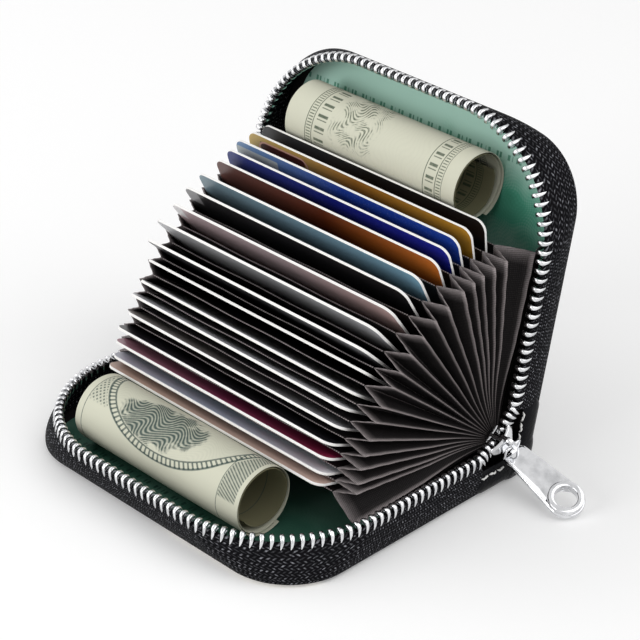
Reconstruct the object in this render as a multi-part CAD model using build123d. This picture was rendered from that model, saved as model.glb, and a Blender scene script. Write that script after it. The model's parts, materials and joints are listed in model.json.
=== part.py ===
from build123d import *
from math import asin, atan2, ceil, cos, degrees, hypot, pi, radians, sin
import os

os.makedirs("parts", exist_ok=True)

# Cards of the standard size, which set the scale of the wallet
card_count = 18
card_length = 85.6
card_depth = 53.98
card_thick = 0.76
card_radius = 3.18
slip_gap = 0.04

# How far each card's front edge lies from the fold line, in card depths
card_front_shares = [1.176, 1.174, 1.172, 1.153, 1.141, 1.153, 1.157, 1.152, 1.178]
card_front_shares += [1.158, 1.080, 1.065, 1.093, 1.072, 1.115, 1.108, 1.105, 1.130]

# The fold: how far the wallet stands open, and how the fan is shared out
open_angle = 100.7
first_card_angle = 82.2
step_angle = 3.97

# Covers, measured from the fold line that both halves turn about
note_room = 3.0
end_room = 4.2
front_room = 3.1
cover_back = 0.1
cover_radius = 20.0
cover_thick = 1.6
edge_soft = 0.4

# Linings on the inner faces of the covers
lining_thick = 0.3
lining_inset = 1.3
layer_gap = 0.02

# Zip tape, which stands on the rim of each cover and rounds its corners more widely
tape_thick = 0.7
tape_inset = 0.3
tape_start = 10.3
tape_top_drop = 2.5
rim_out = 0.1
rim_ahead = 3.4
rim_radius = 35.2

# Zip teeth
tooth_pitch = 2.6
tooth_width = 1.3
tooth_thick = 2.8
tooth_slot = 1.6
tooth_leg = 1.7
tooth_lead = 0.7
tooth_tip_drop = 0.2
tooth_seat = 0.35

# Leaves of the fan
leaf_thick = 0.16
leaf_margin = 0.5
leaf_back = 3.0
leaf_ahead = 1.52
leaf_radius = 2.5

# Pleated gussets at both ends of the leaves
valley_gap = 0.3
ridge_depth = 6.4
seam_depth = 4.0
gusset_wall = 0.8
gusset_back = 8.0
gusset_set = 0.2
ridge_set = 0.9
gusset_rise = 0.05

# Strip that closes the backs of the pockets
strip_back = 2.3
strip_front = 2.7

# Leather of the spine and the tabs over its two ends
spine_thick = 1.2
spine_bulge = 2.2
spine_facets = 24
tab_thick = 0.8
tab_gap = 0.05
tab_arm = 12.5
tab_clear = 0.4
tab_inset = 0.4
stitch_length = 2.3
stitch_pitch = 3.1
stitch_wide = 0.6
stitch_high = 0.35
stitch_margin = 1.6
stitch_inset = 1.6
stitch_count = 3

# Sewn ends of the zip
end_back = 3.6
end_front = 4.5
end_half = 1.6

# Slider
slider_back = 0.9
slider_waist = 4.5
slider_front = 7.6
slider_back_half = 2.2
slider_waist_half = 2.7
slider_front_half = 3.9
inner_plate_sink = 3.0
inner_plate_thick = 1.0
outer_plate_gap = 1.2
outer_plate_thick = 0.8
post_back = 5.2
post_front = 7.4
post_half = 1.3
bail_back = 1.8
bail_front = 7.2
bail_gap = 2.9
bail_thick = 0.8
bail_leg = 0.7
bail_bevel = 0.7
bail_half = 0.7
bail_mid = 4.5

# Pull tab: a tapered plate with a thick ring at its end, lying down to the table
ring_out = 21.91
ring_y = 0.47
ring_level = 5.15
tab_run = (0.943, 0.022, -0.332)
tab_face = (0.320, -0.342, 0.884)
ring_outer = 5.07
ring_bore = 3.19
ring_high = 3.1
plate_drop = 1.0
plate_thick = 1.5
plate_near = 18.4
plate_near_width = 7.6
plate_far_width = 10.99
plate_bevel = 0.5
eye_run = 20.3
eye_outer = 1.2
eye_bore = 0.7
eye_length = 2.0
link_shift = 1.0
link_wire = 0.45
link_half = 2.6
link_length = 5.35
link_dir = (-0.407, 0.331, -0.852)

# Rolled and flat notes
note_thick = 0.3
roll_radius = 10.4
roll_length = 66.0
roll_inset = 12.8
roll_gap = 0.8571
roll_upper_gap = 1.53
roll_turns = 1.4
roll_step = 0.55
roll_facets = 40
sheet_thick = 0.12
sheet_margin = 1.2
sheet_back = 14.0
sheet_inset = 6.0
sheet_radius = 1.0


# The fan's layers set the wallet's height, and the cards' length sets its length
layer_pitch = card_thick + leaf_thick + 2 * slip_gap
leaf_count = card_count + 1
top_layer = layer_pitch * card_count / 2
half_height = top_layer + note_room
leaf_half = card_length / 2 + leaf_margin
leaf_front = card_depth + leaf_ahead
valley_x = leaf_half + valley_gap
ridge_x = valley_x + ridge_depth
seam_x = valley_x + seam_depth
gusset_front = leaf_front - gusset_set
ridge_front = gusset_front - ridge_set
cover_length = 2 * (ridge_x + gusset_wall + end_room)


def at_fold(reach, offset, turn):
    """Y and Z, from the fold line, of a point that lies in the closed wallet at -reach, offset."""
    a = radians(turn)
    return (-reach * cos(a) + offset * sin(a), reach * sin(a) + offset * cos(a))


def leaf_turn(index):
    return first_card_angle + step_angle * (1 - index)


def leaf_offset(index):
    return top_layer - layer_pitch * index


def card_front(index):
    return card_front_shares[index - 1] * card_depth


def roll_reach(corners, gap):
    """Reach of a rolled note's axis, where the roll lies on its sheet just ahead of these corners."""
    reaches = []
    for y, z in corners:
        rise = z - roll_level
        reaches.append((max((roll_radius + gap) ** 2 - rise**2, 0)) ** 0.5 - y)
    return max(reaches)


# The rolled notes lie ahead of the cards, and the covers reach round them
lining_base = -half_height + cover_thick + layer_gap
lining_top = lining_base + lining_thick
sheet_level = lining_top + layer_gap
roll_level = sheet_level + sheet_thick + layer_gap + roll_radius
card_base = leaf_thick / 2 + slip_gap
low_corner = at_fold(card_front(card_count), leaf_offset(card_count) + card_base, leaf_turn(card_count))
top_side = card_base + card_thick + leaf_offset(1)
top_corner = at_fold(card_front(1), -top_side, open_angle - leaf_turn(1))
leaf_corner = at_fold(leaf_front, -leaf_offset(0) - leaf_thick / 2, open_angle - leaf_turn(0))
lower_reach = roll_reach([low_corner], roll_gap)
upper_reach = roll_reach([top_corner, leaf_corner], roll_upper_gap)
cover_front = lower_reach + roll_radius + front_room
fold_y = (cover_front + cover_back) / 2
rim_length = cover_length + 2 * rim_out
rim_front = cover_front + rim_ahead


def fold(shape, turn):
    """Turn a piece of the closed wallet about the fold line and set it in the part's frame."""
    return Pos(0, fold_y, half_height) * Rot(-turn, 0, 0) * shape


def flip(shape):
    return mirror(shape, about=Plane.XY)


def save(shape, name):
    export_step(shape, f"parts/{name}.step")


def slab(length, front, back, radius, thick, base):
    outline = Rectangle(length, front - back)
    outline = fillet(outline.vertices().sort_by(Axis.Y)[:2], radius)
    return extrude(Pos(0, -(front + back) / 2, base) * outline, amount=thick)


def rim_face(length, front, radius, start, width, level):
    """A U-shaped strip that runs along the rim of a cover."""
    edges = []
    for inset, forward in ((0.0, True), (width, False)):
        hx = length / 2 - inset
        fy = front - inset
        r = radius - inset
        corner = r * (1 - cos(pi / 4))
        points = [(hx, -start), (hx, -(fy - r)), (hx - corner, -(fy - corner)), (hx - r, -fy)]
        points += [(-x, y) for x, y in reversed(points)]
        points = [Vector(x, y, level) for x, y in points]
        run = [
            Edge.make_line(points[0], points[1]),
            Edge.make_three_point_arc(points[1], points[2], points[3]),
            Edge.make_line(points[3], points[4]),
            Edge.make_three_point_arc(points[4], points[5], points[6]),
            Edge.make_line(points[6], points[7]),
        ]
        ends = (points[0], points[7])
        edges.append((run, ends))
    outer, (outer_a, outer_b) = edges[0]
    inner, (inner_a, inner_b) = edges[1]
    closing = [Edge.make_line(outer_b, inner_b), Edge.make_line(inner_a, outer_a)]
    return Face(Wire(outer + [closing[0]] + list(reversed(inner)) + [closing[1]]))


def rim_distance(length, front, radius, x, y):
    """Signed distance from the rim line of a cover."""
    qx = abs(x) - (length / 2 - radius)
    qy = -y - (front - radius)
    return hypot(max(qx, 0), max(qy, 0)) + min(max(qx, qy), 0) - radius


def rim_run(length, front, radius, start, pitch, phase):
    """Points at even steps along a rim line, each with its outward normal."""
    side = front - radius - start
    arc = radius * pi / 2
    across = length - 2 * radius
    total = 2 * side + 2 * arc + across
    steps = int(total / pitch)
    first = (total - steps * pitch) / 2 + phase
    places = []
    for index in range(steps):
        s = first + index * pitch
        sign = 1
        if s > total / 2:
            s = total - s
            sign = -1
        if s < side:
            x, y, nx, ny = length / 2, -start - s, 1, 0
        elif s < side + arc:
            a = (s - side) / radius
            nx, ny = cos(a), -sin(a)
            x = length / 2 - radius + radius * nx
            y = -(front - radius) + radius * ny
        else:
            x, y, nx, ny = length / 2 - radius - (s - side - arc), -front, 0, -1
        places.append((sign * x, y, sign * nx, ny))
    return places


def teeth(phase):
    head = tape_top_drop - tooth_tip_drop - tooth_seat
    leg = tooth_leg + tooth_seat
    body = Pos(0, 0, -head / 2) * Box(tooth_width, tooth_thick, head)
    leg_wide = (tooth_thick - tooth_slot) / 2
    leg_y = (tooth_slot + leg_wide) / 2
    leg_z = -head - leg / 2
    legs = [Pos(0, side * leg_y, leg_z) * Box(tooth_width, leg_wide, leg) for side in (1, -1)]
    tooth = body + legs[0] + legs[1]
    drop = half_height - cover_thick - tape_top_drop
    middle = tape_thick / 2
    line = (rim_length - 2 * middle, rim_front - middle, rim_radius - middle)
    base = (cover_length - 2 * (tape_inset + middle), cover_front - tape_inset - middle)
    base += (cover_radius - tape_inset - middle,)
    placed = []
    for x, y, nx, ny in rim_run(*line, tape_start + tooth_lead, tooth_pitch, phase):
        low, high = -drop, drop
        for _ in range(30):
            mid = (low + high) / 2
            if rim_distance(*base, x + mid * nx, y + mid * ny) > 0:
                high = mid
            else:
                low = mid
        lean = Vector(-low * nx, -low * ny, drop).normalized()
        tip = Vector(x, y, -tape_top_drop) + lean * (tape_top_drop - tooth_tip_drop)
        frame = Plane(origin=tip, x_dir=(-ny, nx, 0), z_dir=lean)
        placed.append(frame.location * tooth)
    return placed


def prism_x(points, x_from, thick):
    """A prism along X over an outline of Y and Z."""
    outline = make_face(Polyline([(0, y, z) for y, z in points], close=True))
    return Pos(x_from, 0, 0) * extrude(outline, amount=thick, dir=(1, 0, 0))


def shell_solid(rings):
    """A closed solid of flat triangles between four rails of matching points."""
    faces = []
    count = len(rings[0])
    for a in range(4):
        b = (a + 1) % 4
        for i in range(count - 1):
            quad = [rings[a][i], rings[a][i + 1], rings[b][i + 1], rings[b][i]]
            for tri in ((0, 1, 2), (0, 2, 3)):
                faces.append(Face(Wire.make_polygon([quad[k] for k in tri])))
    for i in (0, count - 1):
        for tri in ((0, 1, 2), (0, 2, 3)):
            faces.append(Face(Wire.make_polygon([rings[k][i] for k in tri])))
    return Solid(Shell(faces))


# Covers and linings
lower_cover = slab(cover_length, cover_front, cover_back, cover_radius, cover_thick, -half_height)
under_edges = lower_cover.faces().sort_by(Axis.Z)[0].edges()
lower_cover = fillet(under_edges.filter_by(lambda e: e.center().Y < -2 * cover_back), edge_soft)
lining_front = cover_front - lining_inset
lining_length = cover_length - 2 * lining_inset
lining_radius = cover_radius - lining_inset
lower_lining = slab(lining_length, lining_front, cover_back, lining_radius, lining_thick, lining_base)
save(fold(lower_cover, 0), "lower_cover")
save(fold(flip(lower_cover), open_angle), "upper_cover")
save(fold(lower_lining, 0), "lower_lining")
save(fold(flip(lower_lining), open_angle), "upper_lining")

# Zip tapes
tape_foot = (cover_length - 2 * tape_inset, cover_front - tape_inset, cover_radius - tape_inset)
foot_face = rim_face(*tape_foot, tape_start, tape_thick, lining_base)
rim_top = rim_face(rim_length, rim_front, rim_radius, tape_start, tape_thick, -tape_top_drop)
lower_tape = loft([foot_face, rim_top], ruled=True)
save(fold(lower_tape, 0), "lower_zip_tape")
save(fold(flip(lower_tape), open_angle), "upper_zip_tape")

# Zip teeth, those of the upper half set between those of the lower one
save(Compound([fold(t, 0) for t in teeth(0)]), "lower_zip_teeth")
save(Compound([fold(flip(t), open_angle) for t in teeth(tooth_pitch / 2)]), "upper_zip_teeth")

# Leaves, top one first
leaf_flat = slab(2 * leaf_half, leaf_front, leaf_back, leaf_radius, leaf_thick, -leaf_thick / 2)
for index in range(leaf_count):
    leaf = Pos(0, 0, leaf_offset(index)) * leaf_flat
    save(fold(leaf, leaf_turn(index)), f"leaf_{index:02d}")

# Cards, each in front of the leaf that it leans on
card_face = RectangleRounded(card_length, card_depth, card_radius)
for index in range(1, card_count + 1):
    base = leaf_offset(index) + card_base
    card = extrude(Pos(0, card_depth / 2 - card_front(index), base) * card_face, amount=card_thick)
    save(fold(card, leaf_turn(index)), f"card_{index:02d}")

# Gussets: a valley at the edge of every leaf and a ridge between each two
stations = [(seam_x, -lining_top - gusset_rise, open_angle, 1.0)]
stations.append((ridge_x, (-lining_top + top_layer) / 2, (open_angle + leaf_turn(0)) / 2, 0.0))
for index in range(leaf_count):
    stations.append((valley_x, leaf_offset(index), leaf_turn(index), 1.0))
    if index < card_count:
        offset = (leaf_offset(index) + leaf_offset(index + 1)) / 2
        turn = (leaf_turn(index) + leaf_turn(index + 1)) / 2
        stations.append((ridge_x, offset, turn, 0.0))
stations.append((ridge_x, (lining_top - top_layer) / 2, leaf_turn(card_count) / 2, 0.0))
stations.append((seam_x, lining_top + gusset_rise, 0.0, 1.0))
rails = [[], [], [], []]
for x, offset, turn, valley in stations:
    front = ridge_front + (gusset_front - ridge_front) * valley
    for rail, (shift, reach) in zip(rails, ((0, gusset_back), (0, front), (1, front), (1, gusset_back))):
        y, z = at_fold(reach, offset, turn)
        rail.append(Vector(x + shift * gusset_wall, fold_y + y, half_height + z))
gusset = shell_solid(rails)
save(gusset, "gusset_right")
save(mirror(gusset, about=Plane.YZ), "gusset_left")

# Strip behind the pockets
front_points = []
back_points = []
for index in range(leaf_count):
    front_points.append(at_fold(strip_front, leaf_offset(index), leaf_turn(index)))
    back_points.append(at_fold(strip_back, leaf_offset(index), leaf_turn(index)))
strip = prism_x(front_points + back_points[::-1], -leaf_half, 2 * leaf_half)
save(fold(strip, 0), "pocket_strip")


def spine_point(share, inset):
    """A point of the spine: an arc about the fold line that swells out in its middle."""
    angle = radians(-90 + 180 * share - open_angle * share)
    radius = half_height + spine_bulge * sin(pi * share) - inset
    return (radius * cos(angle), radius * sin(angle))


# Spine leather
spine_shares = [i / spine_facets for i in range(spine_facets + 1)]
spine_outer = [spine_point(share, 0) for share in spine_shares]
spine_inner = [spine_point(share, spine_thick) for share in spine_shares]
spine = prism_x(spine_outer + spine_inner[::-1], -cover_length / 2, cover_length)
save(fold(spine, 0), "spine_leather")

# Leather tabs over the two ends of the spine
tab_low = half_height - tab_inset
tab_hole = tape_top_drop + tooth_leg + tab_clear
outline = [(-tab_arm, -tab_low)]
outline += [spine_point(share, tab_inset) for share in spine_shares]
outline += [at_fold(tab_arm, tab_low, open_angle), at_fold(tab_arm, tab_hole, open_angle)]
for share in reversed(spine_shares):
    angle = radians(-90 + 180 * share - open_angle * share)
    outline.append((tab_hole * cos(angle), tab_hole * sin(angle)))
outline.append((-tab_arm, -tab_hole))
end_tab = prism_x(outline, cover_length / 2 + tab_gap, tab_thick)
save(fold(end_tab, 0), "end_tab_right")
save(fold(mirror(end_tab, about=Plane.YZ), 0), "end_tab_left")

# Stitches that hold the end tabs
stitches = []
stitch_x = cover_length / 2 + tab_gap + tab_thick + stitch_high / 2 + layer_gap
for side in (1, -1):
    for index in range(stitch_count):
        reach = stitch_margin + index * stitch_pitch
        stitch = Box(stitch_high, stitch_length, stitch_wide)
        stitch = Pos(side * stitch_x, -reach, -tab_hole - stitch_inset) * stitch
        stitches.append(fold(stitch, 0))
        stitches.append(fold(flip(stitch), open_angle))
save(Compound(stitches), "end_stitches")

# Sewn ends of the zip, at half the fold
end_x = rim_length / 2 - tape_thick / 2
zip_end = Box(tape_thick, end_front + end_back, 2 * end_half)
zip_end = Pos(0, (end_back - end_front) / 2, 0) * zip_end
zip_ends = [fold(Pos(side * (end_x - tape_inset), 0, 0) * zip_end, open_angle / 2) for side in (1, -1)]
save(Compound(zip_ends), "zip_ends")

# Slider body: two plates, the post between them and the bail on the outer one
shield = [
    (-slider_back, -slider_back_half),
    (-slider_waist, -slider_waist_half),
    (-slider_front, -slider_front_half),
    (-slider_front, slider_front_half),
    (-slider_waist, slider_waist_half),
    (-slider_back, slider_back_half),
]
post_mid = (post_back + post_front) / 2
post = [(-post_back, 0), (-post_mid, -post_half), (-post_front, 0), (-post_mid, post_half)]
inner_plate_x = cover_length / 2 - inner_plate_sink
outer_plate_x = cover_length / 2 + outer_plate_gap
slider = prism_x(shield, inner_plate_x, inner_plate_thick)
slider += prism_x(shield, outer_plate_x, outer_plate_thick)
slider += prism_x(post, inner_plate_x, outer_plate_x + outer_plate_thick - inner_plate_x)
bail_x = outer_plate_x + outer_plate_thick
for back in (bail_back, bail_front - bail_leg):
    leg = [(-back, -bail_half), (-back - bail_leg, -bail_half)]
    leg += [(-back - bail_leg, bail_half), (-back, bail_half)]
    slider += prism_x(leg, bail_x, bail_gap + bail_thick)
strap = [(-bail_back, -bail_half), (-bail_front, -bail_half)]
strap += [(-bail_front, bail_half), (-bail_back, bail_half)]
slider += prism_x(strap, bail_x + bail_gap, bail_thick)
bail_corners = slider.edges().filter_by(Axis.Z).group_by(Axis.X)[-1]
slider = chamfer(bail_corners, bail_bevel)
save(fold(slider, open_angle / 2), "slider_body")

# Pull tab
ring_origin = Vector(cover_length / 2 + ring_out, fold_y + ring_y, ring_level)
tab_plane = Plane(origin=ring_origin, x_dir=tab_run, z_dir=tab_face)
taper = [(-plate_near, -plate_near_width / 2), (0, -plate_far_width / 2)]
taper += [(0, plate_far_width / 2), (-plate_near, plate_near_width / 2)]
plate = make_face(Polyline([(x, y, 0) for x, y in taper], close=True))
plate += Circle(plate_far_width / 2)
plate = extrude(Pos(0, 0, -plate_drop - plate_thick) * plate, amount=plate_thick)
plate = chamfer(plate.edges().filter_by(Axis.Y).group_by(Axis.X)[0], plate_bevel)
ring = extrude(Pos(0, 0, -ring_high) * Circle(ring_outer), amount=ring_high)
bore = extrude(Pos(0, 0, -2 * ring_high) * Circle(ring_bore), amount=3 * ring_high)
neck_length = eye_run - plate_near
eye_z = -plate_drop - plate_thick / 2
neck = Pos(-plate_near - neck_length / 2, 0, eye_z) * Box(neck_length, eye_length, plate_thick)
eye = Pos(-eye_run, 0, eye_z) * Rot(90, 0, 0) * Cylinder(eye_outer, eye_length)
eye_hole = Pos(-eye_run, 0, eye_z) * Rot(90, 0, 0) * Cylinder(eye_bore, 2 * eye_length)
pull_tab = plate + ring + neck + eye - bore - eye_hole
save(tab_plane.location * pull_tab, "pull_tab")

# Link between the bail and the tab: a closed loop of wire with round corners
side_dir = tab_plane.y_dir
eye_point = ring_origin - tab_plane.x_dir * eye_run + tab_plane.z_dir * eye_z
far_middle = eye_point - side_dir * link_shift
run_dir = Vector(*link_dir)
run_dir = (run_dir - side_dir * run_dir.dot(side_dir)).normalized()
link_plane = Plane(origin=far_middle, x_dir=side_dir, z_dir=side_dir.cross(run_dir))
bend = 2 * link_wire
loop_line = Pos(0, -link_length / 2, 0) * RectangleRounded(2 * link_half, link_length, bend)
loop_path = loop_line.face().outer_wire()
start = loop_path @ 0
section = Plane(origin=start, z_dir=loop_path % 0) * Circle(link_wire)
link = sweep(section, path=loop_path)
save(link_plane.location * link, "pull_link")

# Rolled notes, wound up with a free edge inside
count = ceil(roll_facets * roll_turns)
outer_line = []
inner_line = []
for i in range(count + 1):
    share = i / count
    angle = 2 * pi * roll_turns * share - pi / 2
    radius = roll_radius - roll_step * roll_turns * share
    outer_line.append((radius * cos(angle), radius * sin(angle)))
    inner_line.append(((radius - note_thick) * cos(angle), (radius - note_thick) * sin(angle)))
roll_left = card_length / 2 - roll_inset - roll_length
roll = prism_x(outer_line + inner_line[::-1], roll_left, roll_length)
lower_roll = Pos(0, -lower_reach, roll_level) * roll
upper_roll = Pos(0, -upper_reach, roll_level) * roll
save(fold(lower_roll, 0), "rolled_note_lower")
save(fold(flip(upper_roll), open_angle), "rolled_note_upper")

# Flat notes on the linings
sheet_length = card_length + 2 * sheet_margin
sheet_front = cover_front - sheet_inset
sheet = slab(sheet_length, sheet_front, sheet_back, sheet_radius, sheet_thick, sheet_level)
save(fold(sheet, 0), "flat_note_lower")
save(fold(flip(sheet), open_angle), "flat_note_upper")
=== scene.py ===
import json
import math

import bmesh
import bpy
import numpy as np
from mathutils import Matrix


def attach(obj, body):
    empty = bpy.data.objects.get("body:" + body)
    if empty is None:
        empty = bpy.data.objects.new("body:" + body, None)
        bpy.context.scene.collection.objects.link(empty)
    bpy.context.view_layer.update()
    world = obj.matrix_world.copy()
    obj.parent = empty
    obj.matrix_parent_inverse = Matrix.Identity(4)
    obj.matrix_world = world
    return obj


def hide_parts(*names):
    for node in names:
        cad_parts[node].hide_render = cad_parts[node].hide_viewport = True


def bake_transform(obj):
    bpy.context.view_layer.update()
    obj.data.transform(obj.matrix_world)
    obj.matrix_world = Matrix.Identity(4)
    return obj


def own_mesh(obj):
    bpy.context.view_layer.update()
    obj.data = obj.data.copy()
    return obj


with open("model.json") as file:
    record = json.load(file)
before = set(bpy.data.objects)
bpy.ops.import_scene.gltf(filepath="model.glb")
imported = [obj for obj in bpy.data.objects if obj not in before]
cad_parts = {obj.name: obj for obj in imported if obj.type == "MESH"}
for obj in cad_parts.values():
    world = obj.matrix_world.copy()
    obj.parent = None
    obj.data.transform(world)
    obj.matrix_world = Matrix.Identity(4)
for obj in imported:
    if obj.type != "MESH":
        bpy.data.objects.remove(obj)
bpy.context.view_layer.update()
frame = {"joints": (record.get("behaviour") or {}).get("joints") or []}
joints = {joint["name"]: joint for joint in frame["joints"]}


# The fold. Both halves, the fan's leaves and the cards turn about one line behind the cards.
# A place in the closed wallet is a reach ahead of that line and a level above its middle.
mm = 0.001
fold_y, fold_z = joints["cover_fold"]["pos_m"][1:]
open_turn = math.radians(100.7)
first_joint_turn = math.radians(82.2)
joint_step = math.radians(3.97)
layer_turns = [86.2, 82.6, 78.5, 74.7, 71.9, 68.6, 62.9, 58.4, 53.7, 48.65, 44.0, 40.4, 35.2, 31.7]
layer_turns = np.radians(layer_turns + [27.4, 23.8, 20.7, 17.4, 15.5, 12.3])
card_count = 18
layer_pitch = 1.0 * mm
half_names = ("lower", "upper")
end_names = ((1, "right"), (-1, "left"))


def fold_place(x, reach, level, turn):
    """Places of the closed wallet after their layer has turned: y and z come from the turn's sine and
    cosine."""
    x, reach, level, turn = np.broadcast_arrays(x, reach, level, turn)
    y = fold_y - reach * np.cos(turn) + level * np.sin(turn)
    z = fold_z + reach * np.sin(turn) + level * np.cos(turn)
    return np.stack([x, y, z], axis=-1)


def half_place(upper, x, reach, level):
    """Places in one half: the upper half is the lower one's mirror image, turned open."""
    if upper:
        return fold_place(x, reach, -level, open_turn)
    return fold_place(x, reach, level, 0.0)


def layer_turn(index):
    """How far the card or leaf of this number stands open, read between the steps of the fan."""
    return np.interp(index, np.arange(len(layer_turns)), layer_turns)


def layer_share(index, turn):
    """Which part of its joint's turn a place of this layer makes: the joints open in even steps."""
    return np.minimum(turn / (first_joint_turn + joint_step * (1 - index)), 1.0)


def layer_level(index):
    """The level of this layer in the closed wallet: even steps down from the upper half."""
    return layer_pitch * (card_count / 2 - index)


def ease(share):
    """Goes from 0 to 1 with level ends: three times the share's square less twice its cube."""
    share = np.clip(share, 0, 1)
    return share * share * (3 - 2 * share)


# Covers. A board inside soft leather, flat where the wallet lies on it and round along the rim.
# The leather is black and glossy, with a fine grain that catches the light.
cover_half = 55.0 * mm
cover_front = 84.0 * mm
cover_back = 0.1 * mm
cover_corner = 20.0 * mm
cover_thick = 1.6 * mm
half_height = 12.0 * mm
cover_swell = 0.25 * mm
leather_black = (0.005, 0.0052, 0.0065, 1.0)
leather_worn = (0.013, 0.0135, 0.017, 1.0)
pale_edge_cream = (0.74, 0.70, 0.62, 1.0)


def skin(name, places, ring=(False, False), caps=False, cloth=None, marks=None, crisp=35.0):
    """A mesh over a grid of places, two parameters to a place. Each place is joined to the next along
    both, ring joins the last back to the first, and caps close the two end rows with strips."""
    rows, columns = places.shape[:2]
    order = np.arange(rows * columns).reshape(rows, columns)
    first, last = order[0], order[-1]
    if ring[0]:
        order = np.vstack([order, order[:1]])
    if ring[1]:
        order = np.hstack([order, order[:, :1]])
    faces = np.stack([order[:-1, :-1], order[1:, :-1], order[1:, 1:], order[:-1, 1:]], axis=-1)
    faces = faces.reshape(-1, 4)
    if caps:
        middle = columns // 2
        for row in (first, last):
            near, far = row[:middle], row[::-1][:middle]
            faces = np.vstack([faces, np.stack([near[:-1], near[1:], far[1:], far[:-1]], axis=-1)])
    mesh = bpy.data.meshes.new(name)
    mesh.from_pydata(places.reshape(-1, 3).tolist(), [], faces.tolist())
    if cloth is not None:
        corner = np.zeros(len(mesh.loops), np.int32)
        mesh.loops.foreach_get("vertex_index", corner)
        layer = mesh.uv_layers.new(name="Cloth")
        layer.data.foreach_set("uv", cloth.reshape(-1, 2)[corner].astype(np.float32).ravel())
    for mark, values in (marks or {}).items():
        values = np.broadcast_to(values, (rows, columns)).astype(np.float32)
        mesh.attributes.new(mark, "FLOAT", "POINT").data.foreach_set("value", values.ravel())
    piece = bpy.data.objects.new(name, mesh)
    bpy.context.scene.collection.objects.link(piece)
    return close_up(piece, crisp, all(ring) or caps)


def close_up(piece, crisp=35.0, closed=True):
    """Merges doubled points, turns the faces of a closed shape outwards and leaves corners crisp."""
    shape = bmesh.new()
    shape.from_mesh(piece.data)
    bmesh.ops.remove_doubles(shape, verts=shape.verts, dist=1e-7)
    bmesh.ops.dissolve_degenerate(shape, edges=shape.edges, dist=1e-7)
    if closed:
        bmesh.ops.recalc_face_normals(shape, faces=shape.faces)
    shape.to_mesh(piece.data)
    shape.free()
    piece.data.shade_smooth()
    piece.data.set_sharp_from_angle(angle=math.radians(crisp))
    return piece


def joined(name, parts):
    """One piece from several shapes of the same finish."""
    whole = bmesh.new()
    for part in parts:
        whole.from_mesh(part.data)
    mesh = bpy.data.meshes.new(name)
    whole.to_mesh(mesh)
    whole.free()
    for part in parts:
        bpy.data.objects.remove(part)
    piece = bpy.data.objects.new(name, mesh)
    bpy.context.scene.collection.objects.link(piece)
    return piece


def fit(piece, body, finish, slot, *stands_for):
    """Gives a piece its finish and lets it move with its body, in place of the solids it stands for."""
    piece.data.materials.append(finish)
    if body:
        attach(piece, body)
    if stands_for:
        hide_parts(*stands_for)
    return piece


def bend(piece):
    """Bakes a piece's placement into its mesh and removes its turn_share mark, which is read but not used;
    the piece is not bent."""
    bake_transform(piece)
    shares = np.zeros(len(piece.data.vertices), np.float32)
    piece.data.attributes["turn_share"].data.foreach_get("value", shares)
    piece.data.attributes.remove(piece.data.attributes["turn_share"])
    return piece


class Shade:
    """A node's output as a value: sums, products and comparisons on it add Math nodes."""

    def __init__(self, socket):
        self.socket = socket

    def node(self, kind, settings=None, sockets=None, output=0):
        """Adds a node of any other kind: its settings first, then the values or links of its sockets."""
        tree = self.socket.id_data
        made = tree.nodes.new("ShaderNode" + kind)
        for name, value in (settings or {}).items():
            if name == "stops":
                ramp = made.color_ramp
                while len(ramp.elements) < len(value):
                    ramp.elements.new(1.0)
                for element, (position, colour) in zip(ramp.elements, value):
                    element.position = position
                    element.color = colour
            else:
                setattr(made, name, value)
        for name, value in (sockets or {}).items():
            if isinstance(value, Shade):
                tree.links.new(value.socket, made.inputs[name])
            else:
                made.inputs[name].default_value = value
        return Shade(made.outputs[output])

    def math(self, operation, *values):
        return self.node("Math", {"operation": operation}, dict(enumerate(values)))

    def __add__(self, other):
        return self.math("ADD", self, other)

    __radd__ = __add__

    def __sub__(self, other):
        return self.math("SUBTRACT", self, other)

    def __rsub__(self, other):
        return self.math("SUBTRACT", other, self)

    def __mul__(self, other):
        return self.math("MULTIPLY", self, other)

    __rmul__ = __mul__

    def __truediv__(self, other):
        return self.math("DIVIDE", self, other)

    def __gt__(self, other):
        return self.math("GREATER_THAN", self, other)

    def __pow__(self, other):
        return self.math("POWER", self, other)

    def __abs__(self):
        return self.math("ABSOLUTE", self)

    def fract(self):
        return self.math("FRACT", self)

    def sine(self):
        return self.math("SINE", self)

    def root(self):
        return self.math("SQRT", self)

    def soft(self, low, high):
        """0 below low, 1 above high and smooth between them."""
        limits = {0: self, 1: low, 2: high, 3: 0.0, 4: 1.0}
        return self.node("MapRange", {"interpolation_type": "SMOOTHSTEP"}, limits)

    def axes(self):
        return [self.node("SeparateXYZ", {}, {0: self}, part) for part in range(3)]

    def noise(self, scale, detail=3.0, roughness=0.5):
        sockets = {"Vector": self, "Scale": scale, "Detail": detail, "Roughness": roughness}
        return self.node("TexNoise", {}, sockets)

    def cells(self, scale):
        return self.node("TexVoronoi", {}, {"Vector": self, "Scale": scale})

    def stretch(self, x, y, z):
        return self.node("VectorMath", {"operation": "MULTIPLY"}, {0: self, 1: (x, y, z)})

    def between(self, start, end):
        """A colour mixed from two by this value."""
        return self.node("Mix", {"data_type": "RGBA"}, {0: self, 6: start, 7: end}, 2)


def begin(name, place="Object", **constants):
    """Starts a material, its constants set straight on the shader's sockets. Gives it, its shader and
    the place on the piece."""
    material = bpy.data.materials.new(name)
    material.use_nodes = True
    nodes = material.node_tree.nodes
    shader = nodes["Principled BSDF"]
    for socket, value in constants.items():
        shader.inputs[socket.replace("_", " ").title().replace("Ior", "IOR")].default_value = value
    start = Shade(nodes.new("ShaderNodeTexCoord").outputs[place])
    return material, shader, start


def paint(shader, **shades):
    """Links what changes over the surface to the shader's own sockets."""
    for socket, shade in shades.items():
        tree = shader.id_data
        tree.links.new(shade.socket, shader.inputs[socket.replace("_", " ").title()])


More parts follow.
